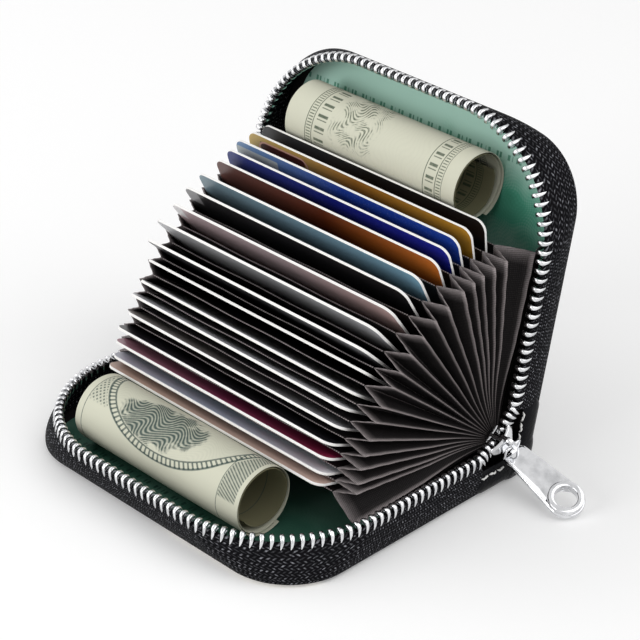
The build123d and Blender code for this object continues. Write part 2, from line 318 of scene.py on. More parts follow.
def relief(height, distance, strength=1.0):
    return height.node("Bump", {}, {"Height": height, "Distance": distance, "Strength": strength})


def leather(name, gloss=0.3, cream=None):
    """Glossy leather: small cells for its grain, wide noise for its sheen, worn paler on the high places."""
    material, shader, place = begin(name, specular_ior_level=0.05, coat_roughness=0.12, coat_ior=1.5)
    grain = place.cells(900.0).soft(0.0, 0.75)
    wide = place.noise(120.0, 4.0)
    fine = place.noise(2600.0, 2.0)
    worn = (wide * 1.4 + fine * 0.5 - 0.75).soft(0.15, 0.8)
    colour = worn.between(leather_black, leather_worn)
    # A given mask turns the colour pale cream, as along the cover's lowest edge at the front right corner.
    if cream:
        colour = cream(place).between(colour, pale_edge_cream)
    height = (1 - grain) * 0.6 + fine * 0.4 + wide * 1.5
    paint(shader, base_color=colour, roughness=gloss + wide * 0.22, coat_weight=0.05 * place.noise(300.0))
    paint(shader, normal=relief(height, 0.12 * mm, 0.35))
    return material


def pale_lower_edge(place):
    """A pale cream band along the cover's lowest edge under the zip, at the front's right corner and fading
    out to its left.
    """
    x, y, z = place.axes()
    along = x.soft(-8.0 * mm, 40.0 * mm) * (1 - y.soft(-30.0 * mm, -27.0 * mm))
    low = 1 - z.soft(0.6 * mm, 1.3 * mm)
    return (along * low).soft(0.05, 0.4)


def rim_at(rim, t):
    """Runs round a cover's rim as t goes from 0 to 5: right side, corner, front, corner, left side.
    Gives x, reach and the two parts of the outward normal, which turns by 90 degrees at each corner."""
    half, front, corner, start = rim
    turn = (np.clip(t - 1, 0, 1) + np.clip(t - 3, 0, 1)) * math.pi / 2
    out_x, out_reach = np.cos(turn), np.sin(turn)
    x = (half - corner) * (1 - 2 * np.clip(t - 2, 0, 1)) + corner * out_x
    side = front - corner - start
    reach = start + side * (np.clip(t, 0, 1) - np.clip(t - 4, 0, 1)) + corner * out_reach
    return x, reach, out_x, out_reach


def rim_steps(straight, arc):
    """Even steps of t, with more of them round the corners."""
    counts = (straight, arc, straight, arc, straight)
    runs = [np.linspace(index, index + 1, count, endpoint=False) for index, count in enumerate(counts)]
    return np.append(np.concatenate(runs), 5.0)


def cover(upper):
    """A board whose outline is the rim closed along its back, and whose edge profile is an arc.
    Its outer face swells a little towards the middle, where the leather is padded."""
    t = rim_steps(10, 14)
    x, reach, out_x, out_reach = rim_at((cover_half, cover_front, cover_corner, cover_back), t)
    back_x = np.linspace(-cover_half, cover_half, 26)[1:-1]
    x = np.append(x, back_x)
    reach = np.append(reach, np.full(24, cover_back))
    out_x = np.append(out_x, np.zeros(24))
    out_reach = np.append(out_reach, np.full(24, -1.0))
    outline_centre = (cover_front + cover_back) / 2
    edge_radius = cover_thick / 2
    arc = np.linspace(0, math.pi, 9)
    inset = np.concatenate([[1.0, 0.75, 0.5, 0.25, 0.08], np.zeros(9), [0.08, 0.3, 0.65, 1.0]])
    edge = np.concatenate([np.zeros(5), np.sin(arc), np.zeros(4)])
    lift = np.concatenate([-np.ones(5), -np.cos(arc), np.ones(4)])
    in_x = x - out_x * edge_radius
    in_reach = reach - out_reach * edge_radius
    keep = (1 - inset)[:, None]
    px = in_x * keep + out_x * edge[:, None] * edge_radius
    pr = outline_centre + (in_reach - outline_centre) * keep + out_reach * edge[:, None] * edge_radius
    level = -half_height + edge_radius * (1 + lift)
    level = level - np.where(lift < 0, cover_swell * ease(inset / 0.5) * upper, 0)
    places = half_place(upper, px, pr, np.broadcast_to(level[:, None], px.shape))
    return skin(f"{half_names[upper]}_cover_leather", places, ring=(False, True))


cover_leather = leather("cover_leather", cream=pale_lower_edge)
for upper, half in enumerate(half_names):
    fit(cover(upper), f"{half}_half", cover_leather, "cover_leather", f"{half}_cover")


# Linings. Thin ribbed nylon glued inside each cover, near black with a brown cast.
lining_inset = 1.3 * mm
lining_thick = 0.3 * mm
rib_pitch = 0.55 * mm
thread_pitch = 0.34 * mm
nylon_black = (0.007, 0.0060, 0.0063, 1.0)
# The pale colour serves painted highlights on the folds, painted sheen on the ribs, and the hem's stitches.
nylon_highlight_and_stitch = (0.44, 0.39, 0.39, 1.0)


def nylon(name):
    """Ribbed nylon: fine ribs across the cloth and finer ones along it, with a painted sheen on the ribs and
    a pale painted highlight where the fold mark is set.
    """
    material, shader, place = begin(name, "UV", roughness=0.62, specular_ior_level=0.1)
    along, across, _ = place.axes()
    rib = (along * (2 * math.pi / rib_pitch)).sine() * 0.5 + 0.5
    thread = (across * (2 * math.pi / thread_pitch)).sine() * 0.5 + 0.5
    blotch = place.noise(160.0, 4.0)
    speck = place.noise(3000.0, 2.0)
    crease = place.node("Attribute", {"attribute_name": "crease"}, {}, 2)
    shine = (rib * thread * 0.35 + speck * 0.5 - 0.2).soft(0.0, 1.0) * 0.16
    # Painted highlight: the pale lines along the folds stand for light caught on them.
    edge = crease * (0.30 + speck * 0.60 + rib * 0.35)
    colour = (shine * (0.5 + blotch) + edge).between(nylon_black, nylon_highlight_and_stitch)
    paint(shader, base_color=colour, roughness=0.55 + blotch * 0.2)
    paint(shader, normal=relief(rib * 0.6 + thread * 0.3 + speck * 0.4, 0.05 * mm, 0.6))
    return material


def plate(name, top, bottom, cloth, marks=None, crisp=35.0):
    """A thin sheet with two faces: each row runs out over the top face and back under the bottom one."""
    loop = np.concatenate([top, bottom[:, ::-1]], axis=1)
    cloth = np.concatenate([cloth, cloth[:, ::-1]], axis=1)
    both = {mark: np.concatenate([value, value[:, ::-1]], axis=1) for mark, value in (marks or {}).items()}
    return skin(name, loop, ring=(False, True), caps=True, cloth=cloth, marks=both, crisp=crisp)


def front_rows(back, front, corner, straight):
    """The reaches of a sheet's rows, closer together round its front corners, and how far its sides step
    in at each: a corner's radius less the half width of its circle there."""
    turn = np.linspace(0, math.pi / 2, 12)
    rows = [np.linspace(back, front - corner, straight)[:-1], front - corner * (1 - np.sin(turn))]
    reach = np.concatenate(rows)[:, None]
    past = np.clip((reach - front + corner) / corner, 0, 1)
    return reach, corner * (1 - np.sqrt(1 - past**2))


def lining(upper):
    """A flat sheet whose rows fill the cover's outline: its half width less the step at each reach."""
    front, corner = cover_front - lining_inset, cover_corner - lining_inset
    reach, step_in = front_rows(cover_back, front, corner, 14)
    x = (cover_half - lining_inset - step_in) * np.linspace(-1, 1, 30)
    x, reach = np.broadcast_arrays(x, reach)
    base = -half_height + cover_thick
    top = half_place(upper, x, reach, base + lining_thick)
    bottom = half_place(upper, x, reach, base)
    return plate(f"{half_names[upper]}_lining_cloth", top, bottom, np.stack([x, reach], axis=-1))


pocket_nylon = nylon("pocket_nylon")
for upper, half in enumerate(half_names):
    fit(lining(upper), f"{half}_half", pocket_nylon, "lining", f"{half}_lining")


# Zip tapes. A strong twill strip sewn under the rim of each cover, standing up from it. It bulges
# outwards, rounds the corners more widely at its teeth than at its foot, and ends short of the hinge.
tape_start = 10.3 * mm
tape_thick = 0.7 * mm
tape_foot_level = -half_height + 0.55 * mm
tape_top_level = -1.05 * mm
tape_bulge = 1.1 * mm
bead_radius = 0.62 * mm
foot_rim = (cover_half + 0.15 * mm, cover_front + 0.15 * mm, cover_corner, tape_start)
top_rim = (55.1 * mm, 87.4 * mm, 35.2 * mm, tape_start)
twill_row = 0.85 * mm
twill_stitch = 1.15 * mm
twill_black = (0.0035, 0.0035, 0.0045, 1.0)
twill_glint_grey = (0.36, 0.365, 0.40, 1.0)


def twill():
    """Herringbone twill: slanting floats in rows along the tape, the slant turned round in each next row.
    Each float is painted grey as a glint of light on the black yarn, lighter or darker by chance."""
    material, shader, place = begin("tape_twill", "UV", specular_ior_level=0.04)
    along, across, _ = place.axes()
    row = across / twill_row
    in_row = row.fract()
    other = (row * 0.5).fract() > 0.5
    slant = (in_row - 0.5) * (1 - 2 * other)
    step = along / twill_stitch + slant * 0.75 + other * 0.5
    across_float = 1 - abs(step.fract() - 0.5) * 2
    along_float = 1 - abs(in_row - 0.5) * 2
    floats = across_float.soft(0.40, 0.85) * along_float.soft(0.1, 0.7)
    chance = place.noise(900.0, 2.0, 0.7).soft(0.46, 0.70)
    fuzz = place.noise(4200.0, 2.0)
    # Painted glint: the floats' grey stands for light caught on the black yarn.
    bright = floats * (0.10 + 0.90 * chance) * (0.45 + fuzz * 0.8)
    paint(shader, base_color=bright.between(twill_black, twill_glint_grey), roughness=0.5 + fuzz * 0.3)
    paint(shader, normal=relief(floats + fuzz * 0.5, 0.16 * mm, 0.8))
    return material


def rim_length(rim):
    """How long each of the rim's five stretches is."""
    half, front, corner, start = rim
    side, arc, across = front - corner - start, corner * math.pi / 2, 2 * (half - corner)
    return np.array([side, arc, across, arc, side])


def tape(upper):
    """The tape's section at each place of the rim is a bow from foot to teeth: a square curve whose
    middle lies outwards of both. Both faces stand off it by half the tape's thickness, and at the top
    they close over the cord in its edge, a circle."""
    t = rim_steps(22, 34)[:, None]
    foot_x, foot_reach, out_x, out_reach = rim_at(foot_rim, t)
    top_x, top_reach, _, _ = rim_at(top_rim, t)
    rise = tape_top_level - tape_foot_level
    bead = np.radians(np.linspace(-55, 90, 9))
    below = np.concatenate([np.linspace(rise, 1.9 * bead_radius, 11), bead_radius * (1 - np.sin(bead))])
    half_thick = np.concatenate([np.full(11, tape_thick / 2), bead_radius * np.cos(bead)])
    up = 1 - below / rise
    bow = 4 * up * (1 - up) * tape_bulge - tape_thick / 2
    x = foot_x + (top_x - foot_x) * up + out_x * bow
    reach = foot_reach + (top_reach - foot_reach) * up + out_reach * bow
    level = np.broadcast_to(tape_foot_level + rise * up, x.shape)
    run = np.interp(t, np.arange(6), np.append(0, np.cumsum(rim_length(foot_rim))))
    cloth_height = math.hypot(rise, top_rim[1] - foot_rim[1])
    cloth = np.stack(np.broadcast_arrays(run, up * cloth_height), axis=-1)
    outer = half_place(upper, x + out_x * half_thick, reach + out_reach * half_thick, level)
    inner = half_place(upper, x - out_x * half_thick, reach - out_reach * half_thick, level)
    return plate(f"{half_names[upper]}_tape_twill", outer, inner, cloth, crisp=60.0)


tape_twill = twill()
for upper, half in enumerate(half_names):
    fit(tape(upper), f"{half}_half", tape_twill, "zip_tape", f"{half}_zip_tape")


# Zip teeth. Each is a bright metal clip bent over the cord in the tape's edge, with a round head and a
# bar across it. The upper row stands half a pitch on, so that its heads fit between the lower row's.
tooth_pitch = 2.6 * mm
tooth_lead = 0.7 * mm
clip_out = np.array([1.02, 1.12, 1.08, 0.86, 0, -0.86, -1.08, -1.12, -1.02]) * mm
clip_up = np.array([-1.75, -0.70, 0.50, 1.35, 1.72, 1.35, 0.50, -0.70, -1.75]) * mm
clip_slant = np.array([0.42, 0.12, 0, 0.10, 0.16, 0.10, 0, 0.12, 0.42]) * mm
clip_half_width = np.array([0.16, 0.44, 0.50, 0.60, 0.63, 0.60, 0.50, 0.44, 0.16]) * mm
clip_half_depth = np.array([0.20, 0.33, 0.42, 0.52, 0.56, 0.52, 0.42, 0.33, 0.20]) * mm
clip_turn = np.radians([0, 0, 12, 50, 90, 130, 168, 180, 180])
bar_out = 0.9 * mm
bar_up = 0.62 * mm
bar_half_height = 0.2 * mm
bar_half_width = 0.5 * mm
chrome_light = (0.80, 0.805, 0.82, 1.0)
chrome_dull = (0.55, 0.555, 0.57, 1.0)


def chrome(name, smooth, scratch):
    """Polished plating: bright, with faint smears and hair scratches in its gloss."""
    material, shader, place = begin(name, metallic=1.0)
    smear = place.noise(260.0, 4.0)
    hair = place.stretch(1.0, 9.0, 9.0).noise(900.0, 2.0)
    paint(shader, base_color=smear.soft(0.35, 0.75).between(chrome_light, chrome_dull))
    paint(shader, roughness=smooth + scratch * (smear * 0.5 + hair * 0.5))
    paint(shader, normal=relief(smear + hair * 0.3, 0.02 * mm, 0.25))
    return material


def teeth_places(upper):
    """Even steps along the rim line of the teeth, their outward normals and how far each leans."""
    middle = tape_thick / 2
    half, front, corner, start = top_rim
    rim = (half - middle, front - middle, corner - middle, tape_start + tooth_lead)
    stretches = rim_length(rim)
    total = stretches.sum()
    count = int(total / tooth_pitch)
    run = (total - count * tooth_pitch) / 2 + (np.arange(count) + upper / 2) * tooth_pitch
    t = np.interp(run, np.append(0, np.cumsum(stretches)), np.arange(6))
    x, reach, out_x, out_reach = rim_at(rim, t)
    foot_x, foot_reach, _, _ = rim_at(foot_rim, t)
    lean = (x - foot_x) * out_x + (reach - foot_reach) * out_reach
    return x, reach, out_x, out_reach, lean


def soft_box(angle, square):
    """A circle squared up: its two parts keep their signs and are raised to a power below 1."""
    return [np.sign(part) * np.abs(part) ** square for part in (np.cos(angle), np.sin(angle))]


def clips(tip, axis_out, axis_run, axis_up):
    """The places of clip and bar at each tip: the clip's path goes up outside, over the edge and down
    inside, and a soft box is carried along it; the bar is a box across. Both turn with the three axes."""
    wide, high = soft_box(np.radians(np.arange(8) * 45 + 22.5), 0.6)
    run = clip_slant[:, None] + clip_half_width[:, None] * wide
    out = clip_out[:, None] + clip_half_depth[:, None] * high * np.cos(clip_turn)[:, None]
    up = clip_up[:, None] + clip_half_depth[:, None] * high * np.sin(clip_turn)[:, None]
    ends = np.array([[-bar_out], [bar_out]])
    square = np.array([[-1, 1, 1, -1], [-1, -1, 1, 1]])
    bar_run = bar_half_width * square[0] + 0 * ends
    bar_rise = bar_up + bar_half_height * square[1] + 0 * ends
    stacks = []
    for o, r, u in ((out, run, up), (ends + 0 * bar_run, bar_run, bar_rise)):
        steps = [value[None, ..., None] for value in (o, r, u)]
        axes = [axis[:, None, None] for axis in (axis_out, axis_run, axis_up)]
        stacks.append(tip[:, None, None] + sum(step * axis for step, axis in zip(steps, axes)))
    return stacks


def tubes(name, stacks, shares=None):
    """One mesh of many short tubes. Each stack holds tubes, rows along each and places round each row;
    the sides are joined round and the two end rows are closed."""
    places, faces, marks, start = [], [], [], 0
    for index, stack in enumerate(stacks):
        count, rows, columns = stack.shape[:3]
        order = start + np.arange(count * rows * columns).reshape(count, rows, columns)
        looped = np.concatenate([order, order[:, :, :1]], axis=2)
        sides = [looped[:, :-1, :-1], looped[:, 1:, :-1], looped[:, 1:, 1:], looped[:, :-1, 1:]]
        faces += np.stack(sides, axis=-1).reshape(-1, 4).tolist()
        faces += order[:, 0].tolist() + order[:, -1].tolist()
        places.append(stack.reshape(-1, 3))
        if shares is not None:
            marks.append(np.broadcast_to(shares[index][:, None, None], stack.shape[:3]).ravel())
        start += order.size
    mesh = bpy.data.meshes.new(name)
    mesh.from_pydata(np.concatenate(places).tolist(), [], faces)
    if shares is not None:
        mark = mesh.attributes.new("turn_share", "FLOAT", "POINT")
        mark.data.foreach_set("value", np.concatenate(marks).astype(np.float32))
    piece = bpy.data.objects.new(name, mesh)
    bpy.context.scene.collection.objects.link(piece)
    return close_up(piece, 50.0)


def teeth(upper):
    """All teeth of one half. Three axes per tooth place it: outwards, along the tape and up its lean."""
    x, reach, out_x, out_reach, lean = teeth_places(upper)
    rise = (half_height - tape_top_level) / 2
    axis_out = np.stack([out_x, out_reach, np.zeros_like(x)], axis=-1)
    axis_up = axis_out * (lean / rise * 0.45)[:, None] + np.array([0.0, 0.0, 1.0])
    axis_up /= np.linalg.norm(axis_up, axis=1)[:, None]
    axis_run = np.stack([-out_reach, out_x, np.zeros_like(x)], axis=-1)
    axis_out = np.cross(axis_run, axis_up)
    tip = np.stack([x, reach, np.full_like(x, tape_top_level)], axis=-1)
    stacks = clips(tip, axis_out, axis_run, axis_up)
    stacks = [half_place(upper, stack[..., 0], stack[..., 1], stack[..., 2]) for stack in stacks]
    return tubes(f"{half_names[upper]}_teeth_row", stacks)


tooth_metal = chrome("tooth_metal", 0.13, 0.16)
for upper, half in enumerate(half_names):
    fit(teeth(upper), f"{half}_half", tooth_metal, "zip_metal", f"{half}_zip_teeth")


# Row ends. At both ends of the fold the tapes run on with a few more teeth and draw together into the
# slider. They are built at the slider's half turn.
row_end_curve = np.array([[5.76, 8.60], [5.9, 6.8], [5.5, 4.0], [3.6, 2.3]]) * mm
row_end_x = (54.75 * mm, 54.45 * mm)
row_end_width = 2.6 * mm
row_end_length = 6.8 * mm
row_end_teeth = np.array([0.09, 0.36, 0.62, 0.87])


def row_end_at(t):
    """A cubic curve of reach and level in the plane at half the fold, with its unit tangent and normal."""
    t = np.asarray(t)[..., None]
    a, b, c, d = row_end_curve
    place = a * (1 - t) ** 3 + 3 * b * t * (1 - t) ** 2 + 3 * c * t**2 * (1 - t) + d * t**3
    slope = (b - a) * (1 - t) ** 2 + 2 * (c - b) * t * (1 - t) + (d - c) * t**2
    slope = slope / np.linalg.norm(slope, axis=-1)[..., None]
    return place, slope, np.stack([-slope[..., 1], slope[..., 0]], axis=-1)


def row_end_share(upper, t):
    return 1 - t / 2 if upper else t / 2


def row_end_tape(upper, side):
    """A strip set back from the curve along its normal, as thick as the tape."""
    t = np.linspace(0, 1, 17)[:, None]
    back = np.linspace(0, row_end_width, 7)[None, :] * (1 - 0.35 * t)
    place, _, normal = row_end_at(t)
    reach = place[..., 0] - normal[..., 0] * back
    level = (place[..., 1] - normal[..., 1] * back) * (1 if upper else -1)
    x = row_end_x[0] + (row_end_x[1] - row_end_x[0]) * t + 0 * back
    top = fold_place(side * (x + tape_thick / 2), reach, level, open_turn / 2)
    bottom = fold_place(side * (x - tape_thick / 2), reach, level, open_turn / 2)
    cloth = np.stack(np.broadcast_arrays(t * row_end_length, back), axis=-1)
    return plate("row_end", top, bottom, cloth, {"turn_share": row_end_share(upper, t) + 0 * back})


def row_end_clips(upper, side):
    """The clips along the curve: outwards is along the fold line, up is the curve's normal."""
    t = row_end_teeth - (0.0 if upper else 0.05)
    place, slope, normal = row_end_at(t)
    flat = np.zeros_like(t)
    x = row_end_x[0] + (row_end_x[1] - row_end_x[0]) * t
    tip = np.stack([x, place[:, 0], place[:, 1]], axis=-1)
    out = np.stack([flat + 1, flat, flat], axis=-1)
    run = np.stack([flat, -slope[:, 0], -slope[:, 1]], axis=-1)
    up = np.stack([flat, normal[:, 0], normal[:, 1]], axis=-1)
    mirror = 1 if upper else -1
    stacks = [
        fold_place(side * stack[..., 0], stack[..., 1], mirror * stack[..., 2], open_turn / 2)
        for stack in clips(tip, out, run, up)
    ]
    return stacks, [row_end_share(upper, t)] * 2


for side, end in end_names:
    strips = [row_end_tape(upper, side) for upper in (0, 1)]
    for strip, half in zip(strips, half_names):
        strip.name = f"{half}_row_end_{end}"
        fit(strip, None, tape_twill, "zip_tape")
        bend(strip)
    lower_clips, lower_shares = row_end_clips(0, side)
    upper_clips, upper_shares = row_end_clips(1, side)
    row = tubes(f"row_end_teeth_{end}", lower_clips + upper_clips, lower_shares + upper_shares)
    fit(row, None, tooth_metal, "zip_metal")
    bend(row)


# Side pleats. One strip of nylon at each end of the leaves, folded in by each pocket's mouth and out
# at each card, and creased sharp. It opens like a fan as the cover turns.
pleat_folds = {1: (43.6 * mm, 50.4 * mm, 47.6 * mm), -1: (39.6 * mm, 45.0 * mm, 43.4 * mm)}
pleat_back = 2.0 * mm
pleat_back_x = 50.6 * mm
valley_front = 55.9 * mm
ridge_front = 54.2 * mm
seam_room = 0.1 * mm
last_ridge_share = 0.42
pleat_cloth = 6.5 * mm
pleat_sag = 0.28 * mm
pleat_wave = 0.12 * mm
pleat_thick = 0.24 * mm


def pleat_stations(side):
    """The folds from the upper lining to the lower one, as x, level, turn and front reach: a ridge
    stands at each card and a valley halfway to the next one. The left end's folds are shallower, and
    at the fold line all of them run together at one x."""
    valley_x, ridge_x, seam_x = pleat_folds[side]
    inner = half_height - cover_thick - lining_thick
    stations = [(seam_x, inner - seam_room, open_turn, valley_front)]
    stations.append((ridge_x, (layer_level(0) + inner) / 2, (open_turn + layer_turn(0)) / 2, ridge_front))
    for index in range(card_count + 1):
        level = layer_level(index)
        stations.append((valley_x, level, layer_turn(index + 0.5), valley_front))
        if index < card_count:
            stations.append((ridge_x, level - layer_pitch / 2, layer_turn(index + 1), ridge_front))
    last_level, last_turn = (layer_level(card_count) - inner) / 2, layer_turn(card_count) * last_ridge_share
    stations.append((ridge_x, last_level, last_turn, ridge_front))
    stations.append((seam_x, seam_room - inner, 0.0, valley_front))
    return np.array(stations)


def pleats(side):
    """A zigzag strip: between folds its places run straight, with a slight inward sag, and each fold is
    rounded a little. Its reach goes from the fold line, where the levels are gathered, to the mouth."""
    stations = pleat_stations(side)
    valley_x = pleat_folds[side][0]
    last = len(stations) - 1
    position = np.linspace(0, last, last * 8 + 1)
    nearest = np.rint(position)
    off_fold = np.abs(position - nearest)
    x, level, turn, front = [np.interp(position, np.arange(last + 1), column) for column in stations.T]
    is_ridge = (nearest.astype(int) % 2 == 1).astype(float)
    crease = 1 - ease(off_fold / 0.14)
    reach_share = np.linspace(0, 1, 25)
    reach = pleat_back + (front[:, None] - pleat_back) * reach_share
    spread = ease((reach_share - 0.02) / 0.5)
    depth = valley_x + (x[:, None] - valley_x) * (0.45 + 0.55 * spread)
    sag = pleat_sag * np.sin(np.pi * off_fold * 2)[:, None] * ease(reach_share / 0.8)
    wave = pleat_wave * np.sin(reach * 900.0 + position[:, None] * 2.3) * ease(reach_share)
    together = (1 - reach_share) ** 1.6
    px = side * ((depth - sag + wave) * (1 - together) + pleat_back_x * together)
    gather = 0.10 + 0.90 * reach_share
    mouth = ease((reach_share - 0.93) / 0.07)
    # Painted highlight along each fold: strongest on the ridges, weaker in the valleys and where the folds
    # gather towards the fold line, with a pale band along the folded edge at the mouth.
    fold_highlight = crease[:, None] * (0.55 + 0.45 * is_ridge[:, None]) * (0.45 + 0.55 * spread)
    mark = np.maximum(fold_highlight, 0.55 * mouth * np.ones_like(px))
    places = fold_place(px, reach, level[:, None] * gather, turn[:, None])
    strip = np.stack(np.broadcast_arrays(reach, position[:, None] * pleat_cloth), axis=-1)
    marks = {"crease": mark, "turn_share": turn[:, None] / open_turn}
    name = "pleats_right" if side > 0 else "pleats_left"
    return skin(name, places, cloth=strip, marks=marks, crisp=25.0)


for side, end in end_names:
    pleat = pleats(side)
    fit(pleat, None, pocket_nylon, "pocket_fabric", f"gusset_{end}")
    bend(pleat)
    wall = pleat.modifiers.new("Cloth", "SOLIDIFY")
    wall.thickness = pleat_thick
    wall.offset = 0.0


# Leaves. Nylon walls between the pockets, hemmed at the mouth with one row of small stitches. Each
# leans from its card towards the next one down, so its mouth stands halfway between the two.
leaf_half = 43.3 * mm
leaf_left = -39.3 * mm
leaf_back = 3.0 * mm
leaf_front = 55.9 * mm
leaf_thick = 0.16 * mm
lean_start = 12.0 * mm
leaf_wave = 0.10 * mm
leaf_rib = 0.6 * mm
hem_stitch = 0.80 * mm
hem_radius = 0.19 * mm


def leaf_nylon():
    """The pocket nylon with a row of small stitches along the hem."""
    material, shader, place = begin("leaf_nylon", "UV", roughness=0.62, specular_ior_level=0.2)
    along, reach, _ = place.axes()
    rib = (reach * (2 * math.pi / leaf_rib)).sine() * 0.5 + 0.5
    speck = place.noise(3000.0, 2.0)
    blotch = place.noise(160.0, 4.0)
    hem = reach.soft(leaf_front - 0.22 * mm, leaf_front - 0.08 * mm)
    stitches = (along / hem_stitch).fract().soft(0.35, 0.6)
    edge = hem * (0.12 + 0.88 * stitches) * (0.35 + 0.7 * speck)
    shine = (rib * 0.3 + speck * 0.5 - 0.25).soft(0.0, 1.0) * 0.12 * (0.5 + blotch)
    colour = (shine + edge).between(nylon_black, nylon_highlight_and_stitch)
    paint(shader, base_color=colour, roughness=0.55 + blotch * 0.2)
    paint(shader, normal=relief(rib * 0.5 + speck * 0.4 + hem * stitches, 0.05 * mm, 0.6))
    return material


def leaf(index):
    """A sheet over x and reach whose turn eases from its own to halfway to the next at its mouth.
    Its thickness swells into a round hem at the mouth, and its mouth waves a little."""
    x = np.linspace(leaf_left, leaf_half, 61)[None, :]
    hem_turn = np.linspace(0, math.pi / 2, 6)[1:]
    shares = np.concatenate([np.linspace(0, 0.985, 20), 0.985 + 0.015 * np.sin(hem_turn)])
    reach = (leaf_back + (leaf_front - leaf_back) * shares)[:, None]
    lean = layer_turn(index) - layer_turn(index + 0.5)
    lean = lean * ease((reach - lean_start) / (leaf_front - lean_start))
    turn = layer_turn(index) - lean
    hem = np.clip((reach - (leaf_front - 2 * hem_radius)) / hem_radius - 1, -1, 1)
    rounded = np.sqrt(np.clip(1 - np.clip(hem, 0, 1) ** 2, 0, 1))
    half_thick = (leaf_thick / 2 + (hem_radius - leaf_thick / 2) * ease(1 + hem)) * np.maximum(rounded, 0.02)
    wave = leaf_wave * np.sin(x * 190.0 + index * 1.7) * ease((reach - 30 * mm) / (20 * mm))
    level = layer_level(index) + wave
    shape = np.broadcast(x, reach).shape
    x, reach, turn = (np.broadcast_to(value, shape) for value in (x, reach, turn))
    top = fold_place(x, reach, level + half_thick, turn)
    bottom = fold_place(x, reach, level - half_thick, turn)
    cloth = np.stack([x, reach], axis=-1)
    marks = {"turn_share": layer_share(index, turn)}
    return plate(f"leaf_{index:02d}_cloth", top, bottom, cloth, marks, crisp=60.0)


fan_nylon = leaf_nylon()
for index in range(card_count + 1):
    piece = leaf(index)
    fit(piece, None, fan_nylon, "pocket_fabric", f"leaf_{index:02d}")
    bend(piece)


# The strip that closes the pockets' backs. One width of nylon sewn to the back of every leaf.
strip_near = 2.7 * mm
strip_far = 2.3 * mm
strip_cloth = 0.9 * mm


def pocket_backs():
    """A band round the fold line: its rows step through the leaves' turns and levels at one reach."""
    index = np.linspace(0, card_count, 55)[:, None]
    x = np.linspace(leaf_left, leaf_half, 9)[None, :]
    level = layer_level(index) + 0 * x
    turn = layer_turn(index) + 0 * x
    x = x + 0 * index
    outer = fold_place(x, strip_far, level, turn)
    inner = fold_place(x, strip_near, level, turn)
    cloth = np.stack([x, index * strip_cloth + 0 * x], axis=-1)
    return plate("pocket_backs_cloth", outer, inner, cloth, {"turn_share": turn / open_turn})


strip = pocket_backs()
fit(strip, None, pocket_nylon, "pocket_fabric", "pocket_strip")
bend(strip)


# Spine. Soft leather between the covers, a little rounded outwards, which rolls as the wallet opens.
spine_swell = 2.2 * mm
spine_thick = 1.2 * mm
spine_wrinkle = 0.12 * mm
spine_edge = 1.0 * mm
spine_cloth = 20 * mm


def spine_ring(share, radius, x):
    """Places round the fold line, from the lower cover's outside at share 0 to the upper one's at 1."""
    angle = -math.pi / 2 + (math.pi - open_turn) * share
    y = fold_y + radius * np.cos(angle)
    z = fold_z + radius * np.sin(angle)
    return np.stack(np.broadcast_arrays(x, y, z), axis=-1)


def spine():
    """An arc about the fold line whose radius swells by a half sine, with fine cross wrinkles."""
    share = np.linspace(0, 1, 49)[:, None]
    x = np.linspace(-cover_half, cover_half, 111)[None, :]
    wrinkle = np.sin(x * 420.0 + share * 5.0) * np.sin(share * math.pi) * spine_wrinkle
    edge = 1 - ease((np.abs(x) - cover_half + spine_edge) / spine_edge)
    radius = half_height + spine_swell * np.sin(math.pi * share) + wrinkle * edge
    outer_radius = radius - (1 - np.sqrt(edge.clip(0, 1))) * spine_thick * 0.45
    inner_radius = radius - spine_thick
    outer = spine_ring(share, outer_radius, x)
    inner = spine_ring(share, inner_radius, x)
    cloth = np.stack(np.broadcast_arrays(x, share * spine_cloth), axis=-1)
    marks = {"turn_share": share + 0 * x}
    return plate("spine_leather_back", outer, inner, cloth, marks)


soft_leather = leather("soft_leather", 0.22)
back = spine()
fit(back, None, soft_leather, "spine_leather", "spine_leather")
bend(back)


# Leather ends. A padded leather patch at each end of the spine covers the ends of the zip. Its two
# arms reach a little way along the covers and are sewn down, and its middle is cut out for the zip.
patch_gap = 0.05 * mm
patch_arm = 12.5 * mm
patch_hole = 4.6 * mm
patch_round = 3.4 * mm
patch_pad = 1.0 * mm
patch_edge = 0.35 * mm
patch_crinkle = 0.14 * mm
patch_level = half_height - 0.4 * mm


